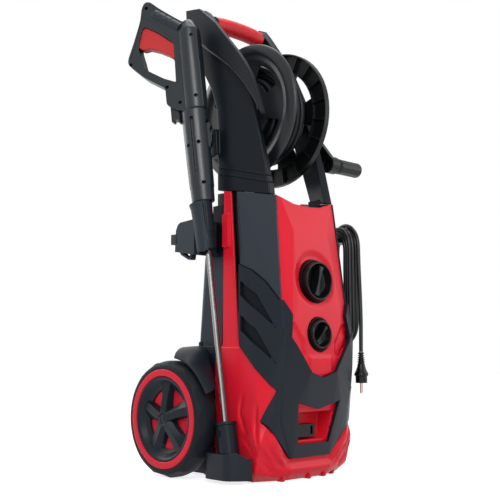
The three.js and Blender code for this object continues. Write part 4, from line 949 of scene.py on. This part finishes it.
def makeCrankKnob():
    rows = []
    for (r1, x1), (r2, x2) in zip(crankKnob["profile"], crankKnob["profile"][1:]):
        count = crankKnob["gripSteps"] if x2 - x1 > 20 else 1
        rows += [(r1 + (r2 - r1) * i / count, x1 + (x2 - x1) * i / count) for i in range(count)]
    y, z = crankKnob["y"], crankKnob["z"]
    knob = turned([*rows, crankKnob["profile"][-1]], 80, (0, y, z), (1, 0, 0))
    piece("crank_handle", fluted(knob, crankKnob["flutes"], (1, 2, 0), (y, z)), "crank_grip", "black",
          ["crank_knob"], 0.5, 40)


makeCrankKnob()
print("handle and reel ready")

panel = {"dish": (0, 352), "dishOuter": 53, "dishInner": 42, "dishDepth": 3.4, "pocketSide": 95,
         "pocketEdge": [(62, 272), (39, 239), (40, 216), (60, 208)], "pocketDepth": 3.2, "ramp": 3.5,
         "footTop": 213, "footHalf": 30, "footLift": 1.8, "grid": {"x": (-84, 84, 3), "z": (180, 498, 3)}}


def panelDepth(x, z):  # how far the panel's face is pushed in, in mm
    outer, ramp, edge = panel["dishOuter"], panel["ramp"], panel["pocketEdge"]
    reach = hypot(x - panel["dish"][0], z - panel["dish"][1])
    depth = panel["dishDepth"] * max(0, min(1, (outer - reach) / (outer - panel["dishInner"])))
    if inside(x, z, [*edge, (panel["pocketSide"], edge[-1][1]), (panel["pocketSide"], edge[0][1])]):
        depth += panel["pocketDepth"] * eased(toLine(x, z, edge), 0, ramp)
    lift = eased(z, panel["footTop"] + ramp, panel["footTop"])
    return depth - panel["footLift"] * lift * eased(x, panel["footHalf"] + 1, panel["footHalf"] + 1 - ramp)


def makePanel():
    made = gridded(copyOf("front_panel"), panel["grid"])
    for vert in made.verts:
        vert.co.y += panelDepth(abs(vert.co.x / mm), vert.co.z / mm) * mm
    piece("front_panel_shaped", made, "washer", "red", ["front_panel"], 1.0, 40)


shield = {"edge": [(58, 227), (92, 263), (90.5, 158), (85, 103), (50, 36)], "lift": 2.2, "ramp": 1.6,
          "inner": [(0, 180), (0, 20)], "behind": -90, "grid": {"x": (-108, 108, 12), "z": (24, 270, 12)}}


def makeShield():
    made = gridded(bevelled(copyOf("front_shield"), 1.5, 50, 3), shield["grid"])
    edge = shield["edge"]
    for hand in sides:  # cuts along both sides of the raised edge
        for (x, z), (nextX, nextZ) in zip(edge, edge[1:]):
            normal = Vector((nextZ - z, 0, x - nextX)).normalized()
            for shift in (0, shield["ramp"]):
                place = point(x, 0, z) + normal * (shift * mm)
                sliced(made, (hand * place.x, 0, place.z), (hand * normal.x, 0, normal.z))
    zone = [shield["inner"][0], *edge, shield["inner"][1]]
    for vert in made.verts:
        x, z = abs(vert.co.x / mm), vert.co.z / mm
        if vert.co.y / mm < shield["behind"] and inside(x, z, zone):
            vert.co.y -= shield["lift"] * mm * min(1, toLine(x, z, edge) / shield["ramp"])
    piece("front_shield_shaped", made, "washer", "shieldGrey", ["front_shield"], 0.6, 36)


louvre = {"outlines": [[(-56, 353), (-56, 320), (-96, 289), (-131, 262), (-92, 326)],
                       [(-57, 291), (-57, 257), (-98, 229), (-132, 203), (-94, 265)]],
          "plane": 108, "thick": 1.6, "grid": {"y": (-130, -60, 7), "z": (208, 348, 14)},
          "skinAt": (103.6, -90, 295), "skinPerY": 0.39, "skinPerZ": -0.0755}


def makeLouvreBacks():  # a floor a few millimetres behind each louvre, following the housing's side, in a darker grey than the shield: painted shade in the recess
    skinX, skinY, skinZ = louvre["skinAt"]
    backs = []
    for hand in sides:
        for outline in louvre["outlines"]:
            back = gridded(slab([(hand * louvre["plane"], y, z) for y, z in outline],
                                (-hand * louvre["thick"], 0, 0)), louvre["grid"])
            for vert in back.verts:
                skin = (skinX + (vert.co.y / mm - skinY) * louvre["skinPerY"]
                        + (vert.co.z / mm - skinZ) * louvre["skinPerZ"])
                vert.co.x -= hand * max(0, louvre["plane"] - skin) * mm
            backs.append(back)
    piece("louvre_backs", gathered(backs), "washer", "deepGrey", (), 0, 30)


cover = {
    "depth": 4.2, "width": 7, "fade": 0.2, "inwards": -0.02,
    "grid": {"x": (-116, 116, 4), "y": (-112, -40, 4), "z": (6, 168, 4)},
    "grooves": [[(-112, -69, 160), (-113, -59, 132), (-113, -57, 113), (-113, -66, 93), (-113, -87, 70),
                 (-105, -104, 45), (-76, -107, 24)],
                [(-112, -101, 138), (-113, -96, 112), (-113, -98, 82), (-106, -106, 53), (-77, -108, 26)],
                [(-106, -114, 88), (-97, -113, 61), (-77, -111, 37), (-53, -111, 20)],
                [(-113, -58, 85), (-113, -87, 58), (-100, -104, 33), (-71, -106, 11)]],
    # the chin stands out beside and below the shield, each pair from where it starts to where it is full
    "bulge": 9, "side": 52, "sideFoot": 40, "sideSlope": 0.52, "beside": (3, 17), "downFrom": (105, 65),
    "below": (34, 20), "upFrom": (-4, 16), "forward": (-62, -102),
}


def toPath(place, path):  # how far a point is from a path, and how far along it the nearest place is
    best = (1e9, 0)
    for i, (start, end) in enumerate(zip(path, path[1:])):
        way = end - start
        share = max(0, min(1, (place - start).dot(way) / way.length_squared))
        best = min(best, ((place - start - way * share).length, (i + share) / (len(path) - 1)))
    return best


def chin(x, y, z):  # how far the cover's lower corners stand out past the shield
    side = cover["side"] + (z - cover["sideFoot"]) * cover["sideSlope"]
    beside = eased(x - side, *cover["beside"]) * eased(z, *cover["downFrom"])
    return (cover["bulge"] * max(beside, eased(z, *cover["below"])) * eased(z, *cover["upFrom"])
            * eased(y, *cover["forward"]))


def makeCover():
    made = gridded(copyOf("lower_cover"), cover["grid"])
    paths = [[point(*place) for place in groove] for groove in cover["grooves"]]
    for vert in made.verts:
        place = Vector((-abs(vert.co.x), vert.co.y, vert.co.z))
        depth = -chin(-place.x / mm, place.y / mm, place.z / mm)
        for path in paths:
            reach, share = toPath(place, path)
            fade = eased(share, 0, cover["fade"]) * eased(1 - share, 0, cover["fade"])
            depth += cover["depth"] * fade * (1 - eased(reach / mm, 0, cover["width"]))
        inward = Vector((-vert.co.x, cover["inwards"] - vert.co.y, 0)).normalized()
        vert.co += inward * (depth * mm)
    piece("lower_cover_shaped", made, "washer", "red", ["lower_cover"], 1.2)


nubs = {"places": [(-60, -1.5), (2, 3.2), (43, 1.5), (77, -9)], "half": 3.4,
        "side": [(-113, 13), (-116, 9), (-112.5, 0.6), (-99, 0.6), (-99, 13)]}


def makeNubs():  # short ribs that the cover stands on at the front
    ribs = [slab([(x - nubs["half"], y - forward, z) for y, z in nubs["side"]], (2 * nubs["half"], 0, 0), 1)
            for x, forward in nubs["places"]]
    piece("cover_nubs", gathered(ribs), "washer", "red", (), 0.8, 40)


makePanel()
makeShield()
makeLouvreBacks()
makeCover()
makeNubs()

dials = {
    "power": {"z": 348, "turn": 14, "bar": 28, "low": 130.5, "high": 145.6,
              "collar": [(37.2, 121), (38.4, 121), (38.4, 134.6), (37.9, 135.4), (37.2, 135.4)],
              "profile": [(0, 124), (36, 124), (36.4, 134), (34.8, 144), (33.8, 146), (32.2, 146.5),
                          (30.8, 145.4), (30.2, 141), (27, 133), (22, 130), (0, 130)]},
    "dosing": {"z": 253, "turn": 42, "bar": 19.5, "low": 139.5, "high": 151,
               "collar": [(28.8, 128), (30, 128), (30, 144.2), (29.6, 144.8), (28.8, 144.8)],
               "profile": [(0, 136), (27.5, 136), (27.8, 144), (25.4, 150), (24.4, 151.4), (22.9, 151.8),
                           (21.6, 150.8), (21, 147), (18, 141), (14, 139), (0, 139)]},
}


def makeDial(name, dial):  # a dished knob with a waisted bar across it
    half, size = dial["bar"], dial["bar"] / dials["power"]["bar"]
    rows = []
    for place, wide, waist, reach in ((dial["low"], 9, 4, half), (dial["high"] - 2, 6, 2.2, half),
                                      (dial["high"], 4.6, 1.2, half - 1.4)):
        wide, waist = wide * size, waist * size
        right = [(wide, -reach), (waist * 1.6, -reach / 2), (waist, 0), (waist * 1.6, reach / 2), (wide, reach)]
        left = [(-x, z) for x, z in right[::-1]]
        rows.append([(x, -place, z) for x, z in left[-1:] + right + left[:-1]])
    bar = placed(lofted(rows), Matrix.Translation(point(0, 0, dial["z"]))
                 @ Matrix.Rotation(radians(dial["turn"]), 4, "Y"))
    knob = turned(dial["profile"], 72, (0, 0, dial["z"]), (0, -1, 0))
    piece(name + "_dial_knob", gathered([knob, bar]), name + "_dial", "black", [name + "_knob"], 0.5)


for name, dial in dials.items():
    makeDial(name, dial)
collars = [turned(dial["collar"], 72, (0, 0, dial["z"]), (0, -1, 0)) for dial in dials.values()]
bridge = block((-8, -130.5, 282.5), (8, -122, 310))
piece("dial_collars", gathered([*collars, bridge]), "washer", "black", ["knob_bezels"], 0, 40)
backing = [block((-80, -135.5, 200), (-56, -132.5, 288)), block((56, -135.5, 200), (80, -132.5, 288))]
piece("panel_backing", gathered(backing), "washer", "red")
print("front ready")

arm = {"rise": 0.25, "steps": (538, 526), "grow": 0.8, "lip": 0.7, "front": -91, "centre": (-84, -35, 0),
       "from": 503}


def makeLeftArm():  # the arm with two shallow steps round its foot
    made = copyOf("left_arm")
    centre = point(*arm["centre"])
    across = Vector((0, -arm["rise"], 1)).normalized()
    for height in arm["steps"]:
        start = point(0, arm["front"], height)
        for drop in (0, arm["lip"]):
            sliced(made, start - point(0, 0, drop), across)
        for vert in made.verts:
            if (start - vert.co).dot(across) / mm > arm["lip"] * 0.9 and vert.co.z / mm > arm["from"]:
                out = Vector((vert.co.x - centre.x, vert.co.y - centre.y, 0)).normalized()
                vert.co += out * (arm["grow"] * mm)
    piece("left_arm_shaped", made, nodes["left_arm"]["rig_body"], "armGrey", ["left_arm"], 2.2, 28, 3)


wing = {"outer": -106.4, "inner": -96.8, "chamfer": 6.5,
        "top": [(104, 850), (107, 893), (67, 886), (18, 843), (-10, 810), (-38, 778), (-59, 751), (-78, 721),
                (-93, 684), (-107, 644)],
        "under": [(-102, 641), (-96, 650), (-75, 682), (-51, 714), (-16, 749), (12, 771), (38, 790), (70, 815)]}


def makeWing():  # the curved strip along the arm, with its lower outer edge rounded off
    outer, top, under = wing["outer"], wing["top"], wing["under"]
    made = slab([(outer, y, z) for y, z in top + under], (wing["inner"] - outer, 0, 0))
    lower = [point(outer, y, z) for y, z in [top[-1], *under, top[0]]]
    edges = [edge for edge in made.edges
             if all(min((vert.co - place).length for place in lower) < 0.1 * mm for vert in edge.verts)]
    rounded(made, edges, wing["chamfer"], 3)
    piece("left_wing_shaped", made, nodes["left_wing"]["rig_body"], "armGrey", ["left_wing"], 1.2, 40)


makeLeftArm()
smoothed("right_arm", "armGrey", 1.6)
makeWing()
# dark shoulder of the housing beside the strip, and what closes the joint under the arm
shoulder = gathered([block((-99, 3, 478), (-88, 18, 514)), block((-97, -36, 497), (-82, 2, 516))])
piece("left_shoulder", shoulder, "washer", "black", (), 0.6)

cup = {"floor": 7, "thick": 3, "rim": 64, "front": -130, "notchDeep": 55, "aboveDeep": 150,
       "above": [(-170, 49), (-110, 61), (-110, 80), (-170, 80)],
       "plan": [(-126.6, -8), (-151, -15.3), (-157, -18.5), (-160, -27), (-160, -64), (-158.6, -71),
                (-154.5, -77.5), (-147, -83.5), (-134, -92), (-122, -99), (-126.6, -96)],
       "inner": [(-120, -8.6), (-150, -17.5), (-155, -20.5), (-157.4, -28), (-157.4, -63), (-156.2, -70),
                 (-152.6, -75.4), (-145, -81.5), (-119, -97.8)],
       "notch": [(-146, 80), (-145, 54), (-137, 49), (-130, 43), (-125, 43), (-120, 49), (-116, 50),
                 (-116, 80)]}


def makeCup():  # the cup under the nozzle, its rim sloping up to the back and notched in front
    floor, rim = cup["floor"], cup["rim"]
    inner = slab([(x, y, floor + cup["thick"]) for x, y in cup["inner"]], (0, 0, rim))
    notch, above = (slab([(x, cup["front"], z) for x, z in cup[key]], (0, cup[key + "Deep"], 0))
                    for key in ("notch", "above"))
    made = combined(slab([(x, y, floor) for x, y in cup["plan"]], (0, 0, rim - floor)), [inner, notch, above])
    piece("lance_cup_shaped", made, "washer", "shieldGrey", ["lance_cup"], 0.8, 36)


makeCup()
print("arms, wing and cup ready")

# pieces that keep the shape of their CAD part, with the width of their rounded edges
kept = {
    "left_column": ("columnGrey", 1.2), "right_column": ("columnGrey", 1.2), "base_pan": ("black", 0.8),
    "left_frame": ("black", 0.8), "right_frame": ("black", 0.8), "top_deck": ("black", 0.6),
    "rear_housing": ("rearGrey", 0.8), "handle_bar": ("zinc", 0.5), "reel_ring": ("reelBlack", 0.5),
    "reel_axle": ("zinc", 0.5), "crank_arm": ("reelBlack", 1.0), "wheel_axle": ("zinc", 0.4),
    "front_socket": ("black", 0.8), "upper_hook": ("black", 0.6), "lower_hook": ("black", 0.6),
    "cord_gland": ("black", 0.6),
}
for node, (finish, bevel) in kept.items():
    smoothed(node, finish, bevel)
print("rounded pieces ready:", len(kept))

# parts inside the covers keep their CAD mesh and get a finish
hidden = {
    "motor_stator": "motor", "motor_rotor": "zinc", "cooling_fan": "black", "swash_plate": "zinc",
    "pump_head": "pump", "water_inlet": "brass", "pump_hose": "hose", "detergent_tank": "tank",
    "motor_capacitor": "rearGrey", "power_switch": "black", "dosing_valve": "pump",
}
for node, finish in hidden.items():
    for place in nodes[node].material_slots:
        place.material = finishes[finish][0]
print("inner parts ready:", len(hidden))
